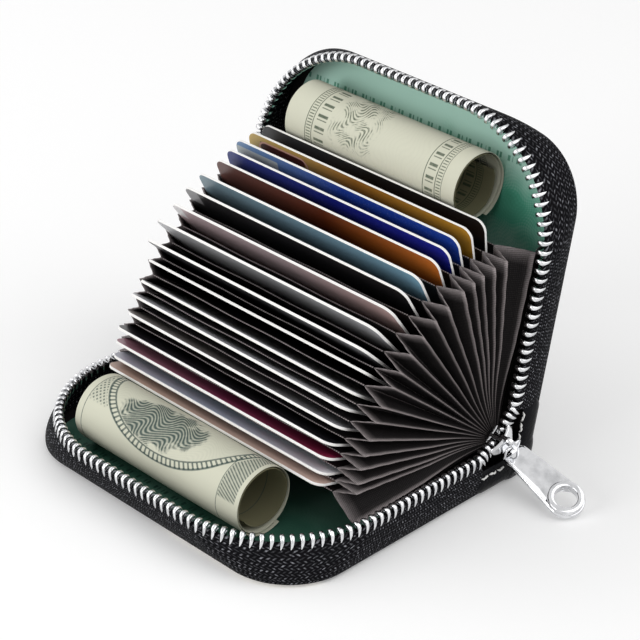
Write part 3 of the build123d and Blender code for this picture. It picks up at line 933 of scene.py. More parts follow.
def end_patch(side):
    """A C-shaped band: its path runs in along one arm, round the fold line and out along the other, and
    its section is a low arch. The arm ends are half circles, because the band narrows there by a root."""
    arm = np.linspace(1, 0, 15)
    arm = np.sin(arm * math.pi / 2)
    share = np.linspace(0, 1, 33)[1:-1]
    arm_out = np.concatenate([arm, np.zeros(31), arm[::-1]])[:, None]
    turned = np.concatenate([np.zeros(15), share, np.ones(15)])[:, None]
    across = np.linspace(-1, 1, 15)[None, :]
    outer = patch_level + np.sin(math.pi * turned) * spine_swell
    middle = (outer + patch_hole) / 2
    half_band = (outer - patch_hole) / 2
    past = np.clip(1 - (1 - arm_out) * patch_arm / patch_round, 0, 1)
    end_round = np.sqrt(1 - past**2)
    radius = middle + across * half_band * end_round
    arch = patch_pad * (1 - np.abs(across) ** 2.6) * np.sqrt(end_round)
    crinkle = patch_crinkle * np.sin(across * 4.0 + turned * 34.0) * np.sin(math.pi * turned)
    angle = -math.pi / 2 + (math.pi - open_turn) * turned
    out_y, out_z = np.cos(angle), np.sin(angle)
    run_y = np.where(turned < 0.5, -1.0, -math.cos(open_turn))
    run_z = np.where(turned < 0.5, 0.0, math.sin(open_turn))
    y = fold_y + radius * out_y + arm_out * patch_arm * run_y
    z = fold_z + radius * out_z + arm_out * patch_arm * run_z
    face_x = cover_half + patch_gap + patch_edge + arch + crinkle * (1 - across**2)
    back_x = cover_half + patch_gap + 0 * arch
    top = np.stack([side * face_x, y, z], axis=-1)
    bottom = np.stack([side * back_x, y, z], axis=-1)
    cloth = np.stack([radius, turned * spine_cloth + 0 * radius], axis=-1)
    name = "leather_end_right" if side > 0 else "leather_end_left"
    return plate(name, top, bottom, cloth, {"turn_share": turned + 0 * radius}, crisp=50.0)


end_leather = leather("end_leather", 0.16)
for side, end in end_names:
    patch = end_patch(side)
    fit(patch, None, end_leather, "spine_leather", f"end_tab_{end}")
    bend(patch)


# Stitches. Thick white thread holds each arm of the leather ends down, three stitches to an arm.
stitch_length = 2.9 * mm
stitch_pitch = 3.3 * mm
stitch_start = (2.9 * mm, 1.4 * mm)
stitch_level = (6.1 * mm, 3.8 * mm)
stitch_height = 1.42 * mm
stitch_dive = 0.55 * mm
thread_radius = 0.27 * mm
thread_white = (0.86, 0.85, 0.83, 1.0)
thread_shadow = (0.42, 0.41, 0.40, 1.0)


def stitch(upper, side, index):
    """A thread of two twisted strands: a round section with two lobes, turned as it is carried along a
    low arch whose ends dive into the leather."""
    run = np.linspace(-1, 1, 17)[:, None]
    around = np.linspace(0, 2 * math.pi, 12, endpoint=False)[None, :]
    lobes = 1 + 0.22 * np.cos(2 * (around - run * 4.5))
    radius = thread_radius * lobes * np.sqrt(np.clip(1.02 - np.abs(run) ** 5, 0, 1))
    reach = stitch_start[upper] + index * stitch_pitch + run * stitch_length / 2 + 0 * around
    height = cover_half + patch_gap + stitch_height - stitch_dive * run**4
    slant = (0.16 * run + 0.12 * np.sin(run * 5.0)) * mm * (1 if index % 2 else -1)
    x = side * (height + radius * np.cos(around))
    level = -stitch_level[upper] + slant + radius * np.sin(around)
    return skin("stitch", half_place(upper, x, reach, level), ring=(False, True), caps=True)


def thread():
    """White cotton: matt, with darker patches painted as shade between its fibres."""
    material, shader, place = begin("white_thread", roughness=0.75, specular_ior_level=0.2)
    fibre = place.noise(2800.0, 3.0)
    paint(shader, base_color=fibre.soft(0.25, 0.6).between(thread_shadow, thread_white))
    paint(shader, normal=relief(fibre, 0.05 * mm, 0.5))
    return material


white_thread = thread()
for upper, half in enumerate(half_names):
    row = joined(f"{half}_stitches", [stitch(upper, side, index) for side in (1, -1) for index in range(3)])
    fit(row, f"{half}_half", white_thread, "thread", *(() if upper else ("end_stitches",)))


# Zip ends. Where the two tapes leave the teeth they are sewn together into one short twill piece,
# which turns at half the cover's angle and carries the slider.
zip_end_half = 1.6 * mm
zip_end_back = 3.6 * mm
zip_end_front = 4.5 * mm
zip_end_x = 54.45 * mm
zip_end_round = 1.2 * mm
zip_end_seam = 0.12 * mm


def zip_end(side):
    """A flat bar whose section is a rounded box and whose ends are round in outline."""
    run = np.linspace(-zip_end_back, zip_end_front, 25)[:, None]
    from_end = np.minimum(run + zip_end_back, zip_end_front - run) / zip_end_round
    round_end = np.sqrt(np.clip(1 - (1 - np.clip(from_end, 0, 1)) ** 2, 0.02, 1))
    across = np.linspace(-1, 1, 13)[None, :]
    level = across * zip_end_half * round_end
    thick = tape_thick / 2 * (0.55 + 0.45 * np.sqrt(np.clip(1 - across**4, 0, 1)))
    seam = zip_end_seam * np.exp(-((across / 0.12) ** 2))
    top = fold_place(side * (zip_end_x + thick - seam), run, level, open_turn / 2)
    bottom = fold_place(side * (zip_end_x - thick + 0 * seam), run, level, open_turn / 2)
    cloth = np.stack(np.broadcast_arrays(run, level), axis=-1)
    return plate("zip_end", top, bottom, cloth)


ends = joined("zip_end_twill", [zip_end(side) for side in (1, -1)])
fit(ends, "zip_end_body", tape_twill, "zip_tape", "zip_ends")


# Slider. Cast metal, chromed: two plates with a post between them, flanges along the outer one that
# hold the teeth in, and a bail over it for the pull.
slider_back = 0.9 * mm
slider_front = 6.4 * mm
slider_half_width = 4.7 * mm
slider_middle = -0.5 * mm
slider_outer_x = 55.9 * mm
slider_arch = 1.3 * mm
inner_plate_x = 52.0 * mm
inner_plate_front = 4.8 * mm
inner_plate_half = 3.05 * mm
plate_thick = (0.9 * mm, 0.8 * mm)
post_half_run = 0.9 * mm
flange_radius = 0.42 * mm
flange_inset = 0.2 * mm
bail_low = 57.0 * mm
bail_top = 60.7 * mm
bail_run = 4.5 * mm
bail_half_run = 2.33 * mm
bail_half_width = 0.7 * mm
bail_wire = 0.38 * mm


def plate_width(share, half):
    """A slider plate's half width: narrow behind, widening to its front, with round corners."""
    corner = np.clip(np.minimum(share, 1 - share) / 0.12, 0, 1)
    return half * (0.60 + 0.40 * ease(share / 0.65)) * (0.80 + 0.20 * np.sqrt(1 - (1 - corner) ** 2))


def slider_plate(base_x, thick, front, half, middle=0.0, arch=0.0):
    """A plate over run and width, arched outwards by a square curve. Its outer face rounds off at its
    rim."""
    run = np.linspace(slider_back, front, 25)[:, None]
    share = (run - slider_back) / (front - slider_back)
    across = np.sin(np.linspace(-1, 1, 21) * math.pi / 2)[None, :]
    level = middle + plate_width(share, half) * across
    edge = np.clip(1 - across**6, 0, 1) * np.clip(1 - (2 * share - 1) ** 8, 0, 1)
    under = base_x + arch * (1 - across**2) + 0 * run
    face = under + thick * (0.45 + 0.55 * np.sqrt(edge))
    outer = fold_place(face, run, level, open_turn / 2)
    inner = fold_place(under, run, level, open_turn / 2)
    return plate("slider_plate", outer, inner, np.stack(np.broadcast_arrays(run, level), axis=-1))


def flange(sign):
    """A round bar along the outer plate's rim, folded over towards the tape."""
    share = np.linspace(0.04, 0.97, 25)[:, None]
    run = slider_back + (slider_front - slider_back) * share
    around = np.linspace(0, 2 * math.pi, 12, endpoint=False)[None, :]
    radius = flange_radius * np.sqrt(np.clip(1 - np.abs(2 * share - 1) ** 8, 0.02, 1))
    x = slider_outer_x - 0.25 * mm + 1.7 * radius * np.cos(around)
    rim = plate_width(share, slider_half_width) - flange_inset
    level = slider_middle + sign * (rim + radius * np.sin(around))
    return skin("flange", fold_place(x, run, level, open_turn / 2), ring=(False, True), caps=True)


def post(level, half_rise, front):
    """A bar from plate to plate with a soft box for its section. Three of them, one over the other,
    make the post where the two rows of teeth part."""
    wide, high = soft_box(np.linspace(0, 2 * math.pi, 16, endpoint=False)[None, :], 0.5)
    x = np.linspace(inner_plate_x + 0.3 * mm, slider_outer_x + slider_arch, 5)[:, None]
    run = front - post_half_run + post_half_run * wide
    places = fold_place(x, run, level + half_rise * high, open_turn / 2)
    return skin("post", places, ring=(False, True), caps=True)


def bail():
    """A flat loop carried along half a rounded box: up from the plate, along over it and down again."""
    path = np.linspace(0, 1, 33)[:, None]
    angle = math.pi * path
    along, over = soft_box(angle, 0.45)
    run = bail_run - bail_half_run * along
    x = bail_low + (bail_top - 0.4 * mm - bail_low) * np.abs(over)
    around = np.linspace(0, 2 * math.pi, 12, endpoint=False)[None, :]
    bar = bail_wire * np.cos(around)
    tilt = np.arctan2(np.gradient(x[:, 0]), np.gradient(run[:, 0]))[:, None]
    run = run - np.sin(tilt) * bar
    x = x + np.cos(tilt) * bar
    level = bail_half_width * soft_box(around, 0.6)[1] * (1 + 0.1 * np.sin(angle))
    return skin("bail", fold_place(x, run, level, open_turn / 2), ring=(False, True), caps=True)


bright_chrome = chrome("bright_chrome", 0.05, 0.07)
outer_plate = (slider_outer_x, plate_thick[1], slider_front, slider_half_width, slider_middle, slider_arch)
parts = [slider_plate(inner_plate_x, plate_thick[0], inner_plate_front, inner_plate_half)]
parts += [slider_plate(*outer_plate)]
parts += [flange(1), flange(-1), bail(), post(-0.45 * mm, 0.6 * mm, 4.95 * mm)]
parts += [post(0.45 * mm, 0.14 * mm, 4.9 * mm), post(-1.6 * mm, 0.16 * mm, 4.7 * mm)]
fit(joined("zip_slider", parts), "slider", bright_chrome, "chrome", "slider_body")


# Pull tab. Chromed metal on the slider's bail by a small wire link: a plate that widens towards a
# thick ring at its free end. It hangs out sideways and leans on the table.
ring_middle = np.array([76.91, 42.52, 5.15]) * mm
pull_face = np.array([0.320, -0.342, 0.884])
pull_face /= np.linalg.norm(pull_face)
pull_run = np.array([0.943, 0.022, -0.332])
pull_run -= pull_face * (pull_run @ pull_face)
pull_run /= np.linalg.norm(pull_run)
pull_side = np.cross(pull_face, pull_run)
ring_outer = 5.07 * mm
ring_bore = 3.19 * mm
ring_high = 3.1 * mm
pull_near = 20.8 * mm
pull_near_half = 3.75 * mm
pull_far_half = 5.49 * mm
pull_camber = 0.3 * mm
camber_middle = -9.5 * mm
camber_run = 10.5 * mm
plate_corner = 1.6 * mm
plate_roll = 0.5 * mm
neck_half_width = 1.0 * mm
neck_half_thick = 0.7 * mm
pull_drop = 1.0 * mm
pull_thick = 1.5 * mm
eye_run = 20.3 * mm


def pull_place(run, side, height):
    """Places on the pull: run along it from the ring's middle, side across it and height over its face."""
    run, side, height = (value[..., None] for value in np.broadcast_arrays(run, side, height))
    return ring_middle + run * pull_run + side * pull_side + height * pull_face


def pull_plate():
    """The outline at each angle about the ring is the farther of the ring's circle and the tapering sides.
    Rows go from the ring's wall out over the face, round the rolled edge and back underneath."""
    corner = plate_corner
    arc = np.linspace(0, math.pi / 2, 8)
    end_angle = math.pi / 2 + math.atan2(pull_far_half - pull_near_half, pull_near)
    far = np.linspace(-end_angle, end_angle, 41)
    line_run = np.concatenate([pull_far_half * np.cos(far), -(pull_near - corner) - corner * np.sin(arc)])
    line_side = np.concatenate([pull_far_half * np.sin(far), pull_near_half - corner + corner * np.cos(arc)])
    line_run = np.concatenate([line_run, line_run[:40:-1]])
    line_side = np.concatenate([line_side, -line_side[:40:-1]])
    out_run = np.roll(line_side, -1) - np.roll(line_side, 1)
    out_side = np.roll(line_run, 1) - np.roll(line_run, -1)
    size = np.hypot(out_run, out_side)
    out_run, out_side = out_run / size, out_side / size
    arch = np.linspace(0, math.pi, 9)
    step_in = np.concatenate([[1.0, 0.5, 0.14, 0.06], np.zeros(9), [0.06, 1.0]])[:, None]
    edge_out = (np.concatenate([np.zeros(4), np.sin(arch), np.zeros(2)])[:, None] - 1) * plate_roll
    lift = np.concatenate([np.zeros(4), (np.cos(arch) - 1) / 2, -np.ones(2)])[:, None] * pull_thick
    rim = np.concatenate([[0.0, 0.0, 0.0, 0.10], np.zeros(11)])[:, None] * mm
    line = np.hypot(line_run, line_side)
    ring_run, ring_side = line_run / line * ring_bore * 1.15, line_side / line * ring_bore * 1.15
    run = (line_run + out_run * edge_out) * (1 - step_in) + ring_run * step_in
    side = (line_side + out_side * edge_out) * (1 - step_in) + ring_side * step_in
    camber = -pull_camber * ((run - camber_middle) / camber_run) ** 2
    return skin("pull_plate", pull_place(run, side, lift + rim + camber - pull_drop), ring=(False, True))


def pull_ring():
    """A turned ring: its section is a rounded box between bore and outside."""
    around = np.linspace(0, 2 * math.pi, 72, endpoint=False)[None, :]
    in_out, up_down = soft_box(np.linspace(0, 2 * math.pi, 32, endpoint=False)[:, None], 0.35)
    radius = (ring_outer + ring_bore) / 2 + (ring_outer - ring_bore) / 2 * in_out
    height = -ring_high / 2 + ring_high / 2 * up_down
    places = pull_place(radius * np.cos(around), radius * np.sin(around), height)
    return skin("pull_ring", places, ring=(True, True))


def pull_eye():
    """A small barrel across the near end, bored for the link, with a neck to the plate."""
    around = np.linspace(0, 2 * math.pi, 28, endpoint=False)[None, :]
    side = np.array([-1.0, -1.0, -0.9, 0.9, 1.0, 1.0])[:, None] * mm
    radius = np.array([0.7, 1.1, 1.2, 1.2, 1.1, 0.7])[:, None] * mm
    height = -pull_drop - pull_thick / 2
    barrel = pull_place(-eye_run + radius * np.cos(around), side, height + radius * np.sin(around))
    barrel = skin("barrel", barrel, ring=(True, True))
    wide, high = soft_box(np.linspace(0, 2 * math.pi, 16, endpoint=False)[None, :], 0.4)
    run = np.linspace(-eye_run + 0.9 * mm, -pull_near + 0.6 * mm, 3)[:, None]
    neck = pull_place(run, neck_half_width * wide, height + neck_half_thick * high)
    neck = skin("neck", neck, ring=(False, True), caps=True)
    return [barrel, neck]


pull_chrome = chrome("pull_chrome", 0.04, 0.05)
pull = joined("pull_tab_chrome", [pull_plate(), pull_ring(), *pull_eye()])
fit(pull, "tab", pull_chrome, "chrome", "pull_tab")


# Link. Round chromed wire closed to a small loop: one end lies in the bail, the other in the pull's eye.
link_wire = 0.45 * mm
link_half = 2.6 * mm
link_length = 5.35 * mm
link_bend = 0.9 * mm
link_shift = 1.0 * mm
link_aim = np.array([-0.407, 0.331, -0.852])


def link():
    """A round section carried along a box with round corners."""
    aim = link_aim - pull_side * (link_aim @ pull_side)
    aim /= np.linalg.norm(aim)
    face = np.cross(pull_side, aim)
    eye = ring_middle - pull_run * eye_run - pull_face * (pull_drop + pull_thick / 2)
    middle = eye - pull_side * link_shift - aim * link_length / 2
    angle = np.concatenate([np.linspace(start, start + 90, 7) for start in (0, 90, 180, 270)])
    angle = np.radians(angle)[:, None]
    corner_side = np.repeat([1, -1, -1, 1], 7)[:, None] * (link_half - link_bend)
    corner_run = np.repeat([1, 1, -1, -1], 7)[:, None] * (link_length / 2 - link_bend)
    around = np.linspace(0, 2 * math.pi, 14, endpoint=False)[None, :]
    reach = link_bend + link_wire * np.cos(around)
    side = (corner_side + reach * np.cos(angle))[..., None]
    run = (corner_run + reach * np.sin(angle))[..., None]
    height = (link_wire * np.sin(around) + 0 * angle)[..., None]
    places = middle + side * pull_side + run * aim + height * face
    return skin("wire_link", places, ring=(True, True))


fit(link(), "link", bright_chrome, "chrome", "pull_link")


# Cards. Plain plastic cards of the standard size, cut with round corners, white in the core, with a
# different print on each. They stand fanned in the pockets, one to each, and show a strip of print.
card_length = 85.6 * mm
card_depth = 53.98 * mm
card_thick = 0.76 * mm
card_corner = 3.18 * mm
card_base = 0.12 * mm
card_bevel = 0.06 * mm
card_fronts = [1.176, 1.174, 1.172, 1.153, 1.141, 1.153, 1.157, 1.152, 1.178]
card_fronts += [1.158, 1.080, 1.065, 1.093, 1.072, 1.115, 1.108, 1.105, 1.130]
card_core = (0.88, 0.87, 0.85, 1.0)
fleck_pale = (0.42, 0.46, 0.52, 1.0)


def card(number):
    """Its outline is a box with round corners. Rows go from the middle of the upper face out over the
    bevelled edge to the middle of the lower face, and the cloth map is along and back from the front."""
    arc = np.linspace(0, math.pi / 2, 9)
    half, depth_half = card_length / 2, card_depth / 2
    turns = np.concatenate([arc + quarter * math.pi / 2 for quarter in range(4)])
    mid_x = np.repeat([1, -1, -1, 1], 9) * (half - card_corner)
    mid_reach = np.repeat([1, 1, -1, -1], 9) * (depth_half - card_corner)
    line_x = mid_x + card_corner * np.cos(turns)
    line_reach = mid_reach + card_corner * np.sin(turns)
    cut = np.array([0, 1.5, 1, 0.3, 0, 0, 0.3, 1, 1.5, 0])[:, None] * card_bevel
    spread = np.array([0, 1, 1, 1, 1, 1, 1, 1, 1, 0])[:, None]
    height = np.array([1, 1, 1, 0.976, 0.92, 0.08, 0.024, 0, 0, 0])[:, None] * card_thick
    print_on = np.array([1, 1, 0.7, 0, 0, 0, 0, 0.7, 1, 1])[:, None]
    x = (line_x - cut * np.cos(turns)) * spread
    reach = (line_reach - cut * np.sin(turns)) * spread
    front = card_fronts[number - 1] * card_depth
    cloth = np.stack([x, depth_half - reach], axis=-1)
    level = layer_level(number) + card_base + height + 0 * x
    places = fold_place(x, front - depth_half + reach, level, layer_turn(number))
    name = f"card_{number:02d}_plastic"
    return skin(name, places, ring=(False, True), cloth=cloth, marks={"print": print_on}, crisp=40.0)


def card_print(number, left, middle, right, fleck=0.0, marks=()):
    """A print whose colour goes along the card from left by middle to right, with pale flecks; the colours
    hold painted light too, lighter towards the left end of most cards. Marks are masks over along and back
    in millimetres, each with its colour."""
    material, shader, place = begin(f"card_{number:02d}_print", "UV", specular_ior_level=0.4)
    along, back, _ = place.axes()
    share = along / card_length + 0.5
    stops = [(0.02, (*left, 1)), (0.5, (*middle, 1)), (0.98, (*right, 1))]
    ink = share.node("ValToRGB", {"stops": stops}, {0: share})
    grain = place.noise(1500.0 + 90.0 * number, 2.0, 0.8).soft(0.55, 0.72) * fleck
    ink = grain.between(ink, fleck_pale)
    for mask_at, colour in marks:
        ink = mask_at(along * 1000, back * 1000).between(ink, (*colour, 1.0))
    is_print = place.node("Attribute", {"attribute_name": "print"}, {}, 2).soft(0.45, 0.65)
    paint(shader, base_color=is_print.between(card_core, ink), roughness=0.3 + 0.1 * place.noise(300.0))
    return material


def between_lines(value, low, high, soft=0.15):
    """A mask for the band between two values."""
    return value.soft(low - soft, low + soft) * (1 - value.soft(high - soft, high + soft))


def block(low, high, near, far):
    """A mask for a patch between two places along the card and two distances back from its front."""
    return lambda along, back: between_lines(along, low, high, 0.2) * between_lines(back, near, far)


def end_label(low, high, near, far, wall):
    """A mask for the border of a strip with round ends, wall wide."""
    middle, half = (near + far) / 2, (far - near) / 2

    def border(along, back):
        past = abs(along - (low + high) / 2) - ((high - low) / 2 - half)
        past = past.math("MAXIMUM", past, 0.0)
        rise = back - middle
        return between_lines((past * past + rise * rise).root(), half - wall, half, 0.1)

    return border


# Each card's colours at its left end, middle and right end: its print, with painted light in them. Most
# strips are painted lighter at the left end, where the light falls, and the pale grey of cards 12 and 13 is
# partly a painted sheen.
card_inks_and_light = {
    1: ((0.030, 0.032, 0.036), (0.004, 0.005, 0.006), (0.003, 0.003, 0.005)),
    2: ((0.52, 0.36, 0.11), (0.30, 0.12, 0.014), (0.48, 0.23, 0.018)),
    3: ((0.14, 0.25, 0.42), (0.008, 0.035, 0.26), (0.009, 0.045, 0.30)),
    4: ((0.030, 0.045, 0.20), (0.004, 0.010, 0.16), (0.006, 0.014, 0.28)),
    5: ((0.13, 0.055, 0.045), (0.11, 0.020, 0.005), (0.50, 0.13, 0.016)),
    6: ((0.20, 0.29, 0.34), (0.18, 0.30, 0.38), (0.20, 0.38, 0.50)),
    7: ((0.014, 0.014, 0.015), (0.006, 0.006, 0.007), (0.006, 0.006, 0.007)),
    8: ((0.52, 0.40, 0.41), (0.46, 0.36, 0.37), (0.50, 0.34, 0.32)),
    9: ((0.50, 0.50, 0.51), (0.30, 0.30, 0.31), (0.40, 0.40, 0.41)),
    10: ((0.022, 0.022, 0.024), (0.018, 0.018, 0.020), (0.20, 0.20, 0.21)),
    11: ((0.022, 0.022, 0.026), (0.016, 0.016, 0.018), (0.016, 0.016, 0.018)),
    12: ((0.62, 0.62, 0.64), (0.68, 0.68, 0.70), (0.66, 0.66, 0.68)),
    13: ((0.50, 0.50, 0.52), (0.34, 0.34, 0.36), (0.60, 0.60, 0.62)),
    14: ((0.34, 0.31, 0.29), (0.20, 0.18, 0.18), (0.34, 0.34, 0.36)),
    15: ((0.009, 0.008, 0.011), (0.007, 0.006, 0.008), (0.006, 0.006, 0.008)),
    16: ((0.50, 0.24, 0.30), (0.32, 0.05, 0.13), (0.30, 0.02, 0.07)),
    17: ((0.55, 0.58, 0.66), (0.46, 0.56, 0.68), (0.76, 0.78, 0.82)),
    18: ((0.50, 0.34, 0.27), (0.48, 0.33, 0.27), (0.58, 0.42, 0.36)),
}
card_flecks = {3: 0.25, 4: 0.1, 5: 0.05, 9: 0.2, 10: 0.1, 13: 0.7, 14: 0.25, 17: 0.25}
card_marks = {
    2: [
        (block(-38.0, -20.0, 1.9, 9.0), (0.06, 0.012, 0.008)),
        (end_label(-39.0, -18.6, 1.5, 8.0, 0.55), (0.62, 0.33, 0.27)),
    ],
    3: [(block(-42.6, -25.8, 2.0, 4.6), (0.42, 0.46, 0.45))],
    7: [(block(-43.0, -37.0, 0.0, 6.0), (0.20, 0.20, 0.205))],
    8: [(block(-43.0, -38.5, 0.0, 6.0), (0.72, 0.70, 0.70))],
}
for number in range(1, card_count + 1):
    ink = card_print(number, *card_inks_and_light[number], card_flecks.get(number, 0.0), card_marks.get(number, ()))
    fit(card(number), f"card_{number:02d}_body", ink, f"card_{number:02d}", f"card_{number:02d}")


# Rolled notes. Printed paper rolled up loosely on its own, one roll in each note compartment. The
# paper's inner end stands a little away from the turns.
roll_radius = 10.4 * mm
roll_left = -36.0 * mm
roll_right = 30.0 * mm
roll_level = 0.48 * mm
lower_roll_reach = 68.0 * mm
upper_roll_reach = 66.99 * mm
paper_thick = 0.13 * mm
roll_turns = 2.25
roll_step = 0.62 * mm
roll_loose = 1.1 * mm
roll_dent = 0.10 * mm
roll_slip = (0.9 * mm, 0.25 * mm)
roll_mean_radius = 9.4 * mm
paper_cream = (0.62, 0.62, 0.50, 1.0)
paper_shaded = (0.20, 0.19, 0.11, 1.0)


def rolled_note(upper):
    """A spiral sheet: its angle grows along the paper, its radius shrinks with each turn and faster in
    the last quarter, and its ends are a little out of true. The cloth map is along roll and paper."""
    share = np.linspace(0, 1, 181)[None, :]
    x_share = np.linspace(0, 1, 41)[:, None]
    start = math.radians(-150 if upper else -120)
    angle = start + 2 * math.pi * roll_turns * share
    loosen = ease((share - 0.78) / 0.22)
    radius = roll_radius - 0.1 * mm - roll_step * roll_turns * share - roll_loose * loosen
    dent = roll_dent * np.sin(3 * angle + x_share * 4.0)
    radius = radius - np.abs(dent)
    slip = roll_slip[0] * share + roll_slip[1] * np.sin(angle * 0.7)
    telescope = slip * np.where(x_share > 0.5, -1, 1)
    x = roll_left + (roll_right - roll_left) * x_share + telescope * np.abs(2 * x_share - 1)
    reach = (upper_roll_reach if upper else lower_roll_reach) + radius * np.cos(angle)
    level = roll_level + radius * np.sin(angle)
    inner_reach = reach - paper_thick * np.cos(angle)
    inner_level = level - paper_thick * np.sin(angle)
    outer = half_place(upper, x, reach, level)
    inner = half_place(upper, x, inner_reach, inner_level)
    length = 2 * math.pi * roll_turns * roll_mean_radius
    cloth = np.stack(np.broadcast_arrays(x, share * length), axis=-1)
    return plate(f"{half_names[upper]}_roll_paper", outer, inner, cloth, crisp=50.0), length


def waves(along, around, pitch, warp):
    """Engraved lines one pitch apart that wander with a slower wave."""
    wander = (along * 0.55 + (around * 0.35).sine() * 1.6).sine() * warp
    return ((around + wander) * (2 * math.pi / pitch)).sine() * 0.5 + 0.5


def oval_print(along, around, blot):
    """The lower note: an oval of two lines with rungs between them, wavy engraving in it, a lattice to
    its left and a hatched band to its right. The picture inside the oval is plain engraving."""
    wide, tall = (along + 4.0) / 28.5, (around - 41.5) / 20.2
    outer = (wide * wide + tall * tall).root()
    wide, tall = (along + 4.0) / 26.6, (around - 41.5) / 18.3
    inner = (wide * wide + tall * tall).root()
    angle = tall.math("ARCTAN2", tall, wide)
    rungs = (angle * 104.0).sine().soft(0.0, 0.5)
    ring = (1 - outer.soft(0.99, 1.005)) * inner.soft(1.0, 1.015)
    lines = between_lines(outer, 0.985, 1.012, 0.008) + between_lines(inner, 0.985, 1.008, 0.008)
    inside = 1 - inner.soft(0.96, 1.0)
    mass = ((along + 7.0) / 17.0) ** 2 + ((around - 31.5 - along * 0.12) / 7.5) ** 2
    mass = 1 - (mass + (blot - 0.5) * 2.2).soft(0.45, 1.0)
    engraving = inside * (0.10 + mass * 0.42 + waves(along, around, 1.05, 1.9) * (0.10 + 0.55 * mass))
    lattice = ((along + around) * 4.2).sine().soft(-0.4, 0.3)
    lattice = lattice * ((along - around) * 4.2).sine().soft(-0.4, 0.3)
    outside = outer.soft(1.02, 1.03)
    left = between_lines(along, -33.2, -25.6) * between_lines(around, 27.0, 47.0, 0.8) * outside
    right = between_lines(along, 21.8, 28.3) * between_lines(around, 22.0, 41.0, 0.5) * outside
    hatch = ((along * 0.5 + around) * 7.0).sine().soft(-0.5, 0.5)
    edges = between_lines(along, -33.6, -33.3, 0.06) + between_lines(along, 21.4, 21.7, 0.06)
    ink = rungs * ring * 0.85 + lines * 0.9 + engraving + left * (0.25 + 0.6 * lattice)
    return ink + right * (0.35 + 0.5 * hatch) + edges * 0.8


def field_print(along, around, blot):
    """The upper note: beaded lines and a band of upright strokes near both ends, and a mottled field."""
    rules = ((-27.7, -27.4), (-25.2, -24.9), (17.9, 18.2), (22.3, 22.6), (24.6, 24.8))
    lines = sum(between_lines(along, low, high, 0.07) for low, high in rules)
    beads = between_lines(along, -27.2, -25.4) + between_lines(along, 22.8, 24.4)
    beads = beads * (around * 7.5).sine().soft(0.0, 0.4)
    step = (around / 3.4).fract()
    strokes = between_lines(step, 0.20, 0.46, 0.05) + between_lines(step, 0.62, 0.72, 0.04)
    letters = between_lines(along, -24.0, -20.2, 0.1) + between_lines(along, 18.8, 21.7, 0.1)
    foliage = between_lines(along + (blot - 0.5) * 9.0, -17.0, -2.0, 1.6)
    foliage = foliage * between_lines(around + (blot - 0.5) * 8.0, 17.0, 41.0, 1.5)
    leaves = waves(along, around, 1.1, 2.4).soft(0.25, 0.75) * blot.soft(0.38, 0.58)
    ground = between_lines(along, -19.5, 17.5, 0.5) * waves(around, along, 1.5, 1.2) * 0.10
    return lines * 0.9 + beads * 0.75 + letters * strokes * 0.85 + foliage * leaves * 0.75 + ground


def note_paper(name, print_at, ink_colour):
    """Cream paper printed with the given layout; the paper of the inner turns is painted darker as shade
    inside the roll.
    """
    material, shader, place = begin(name, "UV", roughness=0.7, specular_ior_level=0.2)
    along, around, _ = place.axes()
    blot = place.noise(230.0, 4.0, 0.6)
    fibre = place.noise(900.0, 3.0)
    ink = print_at(along * 1000, around * 1000, blot) * (0.65 + 0.55 * fibre)
    # Painted shade: the inner turns of the roll are darker.
    roll_shade = (around * 1000).soft(70.0, 84.0)
    paper = roll_shade.between(paper_cream, paper_shaded)
    paint(shader, base_color=ink.soft(0.0, 1.1).between(paper, ink_colour))
    paint(shader, normal=relief(fibre, 0.04 * mm, 0.3))
    return material


roll_papers = [
    note_paper("lower_roll_print", oval_print, (0.055, 0.085, 0.075, 1.0)),
    note_paper("upper_roll_print", field_print, (0.030, 0.060, 0.030, 1.0)),
]
for upper, half in enumerate(half_names):
    roll, roll_length = rolled_note(upper)
    fit(roll, f"rolled_note_{half}_body", roll_papers[upper], "note_paper", f"rolled_note_{half}")
    if upper:
        anchor = fold_place(0, upper_roll_reach, -(roll_level - roll_radius), open_turn)
    else:
        anchor = fold_place(0, lower_roll_reach, roll_level - roll_radius, 0.0)
    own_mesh(roll)


# Flat notes. One green printed note lies flat on each lining, under the rolled one.
flat_half = 49.6 * mm
flat_back = 14.0 * mm
flat_front = 82.2 * mm
flat_corner = 16.0 * mm
flat_tuck = 5.6 * mm
flat_tuck_reach = 44.0 * mm
flat_tuck_run = 8.0 * mm
flat_thick = 0.12 * mm
flat_level = -half_height + cover_thick + lining_thick + 0.04 * mm


def flat_note(upper):
    """A flat sheet that fills the compartment: its front corners follow the lining's round ones, and
    behind the pleats' mouths its sides are tucked in."""
    reach, step_in = front_rows(flat_back, flat_front, flat_corner, 25)
    tuck = flat_tuck * (1 - ease((reach - flat_tuck_reach) / flat_tuck_run))
    x = (flat_half - step_in - tuck) * np.linspace(-1, 1, 45)
    x, reach = np.broadcast_arrays(x, reach)
    top = half_place(upper, x, reach, flat_level + flat_thick)
    bottom = half_place(upper, x, reach, flat_level)
    return plate(f"flat_{half_names[upper]}_paper", top, bottom, np.stack([x, reach], axis=-1))


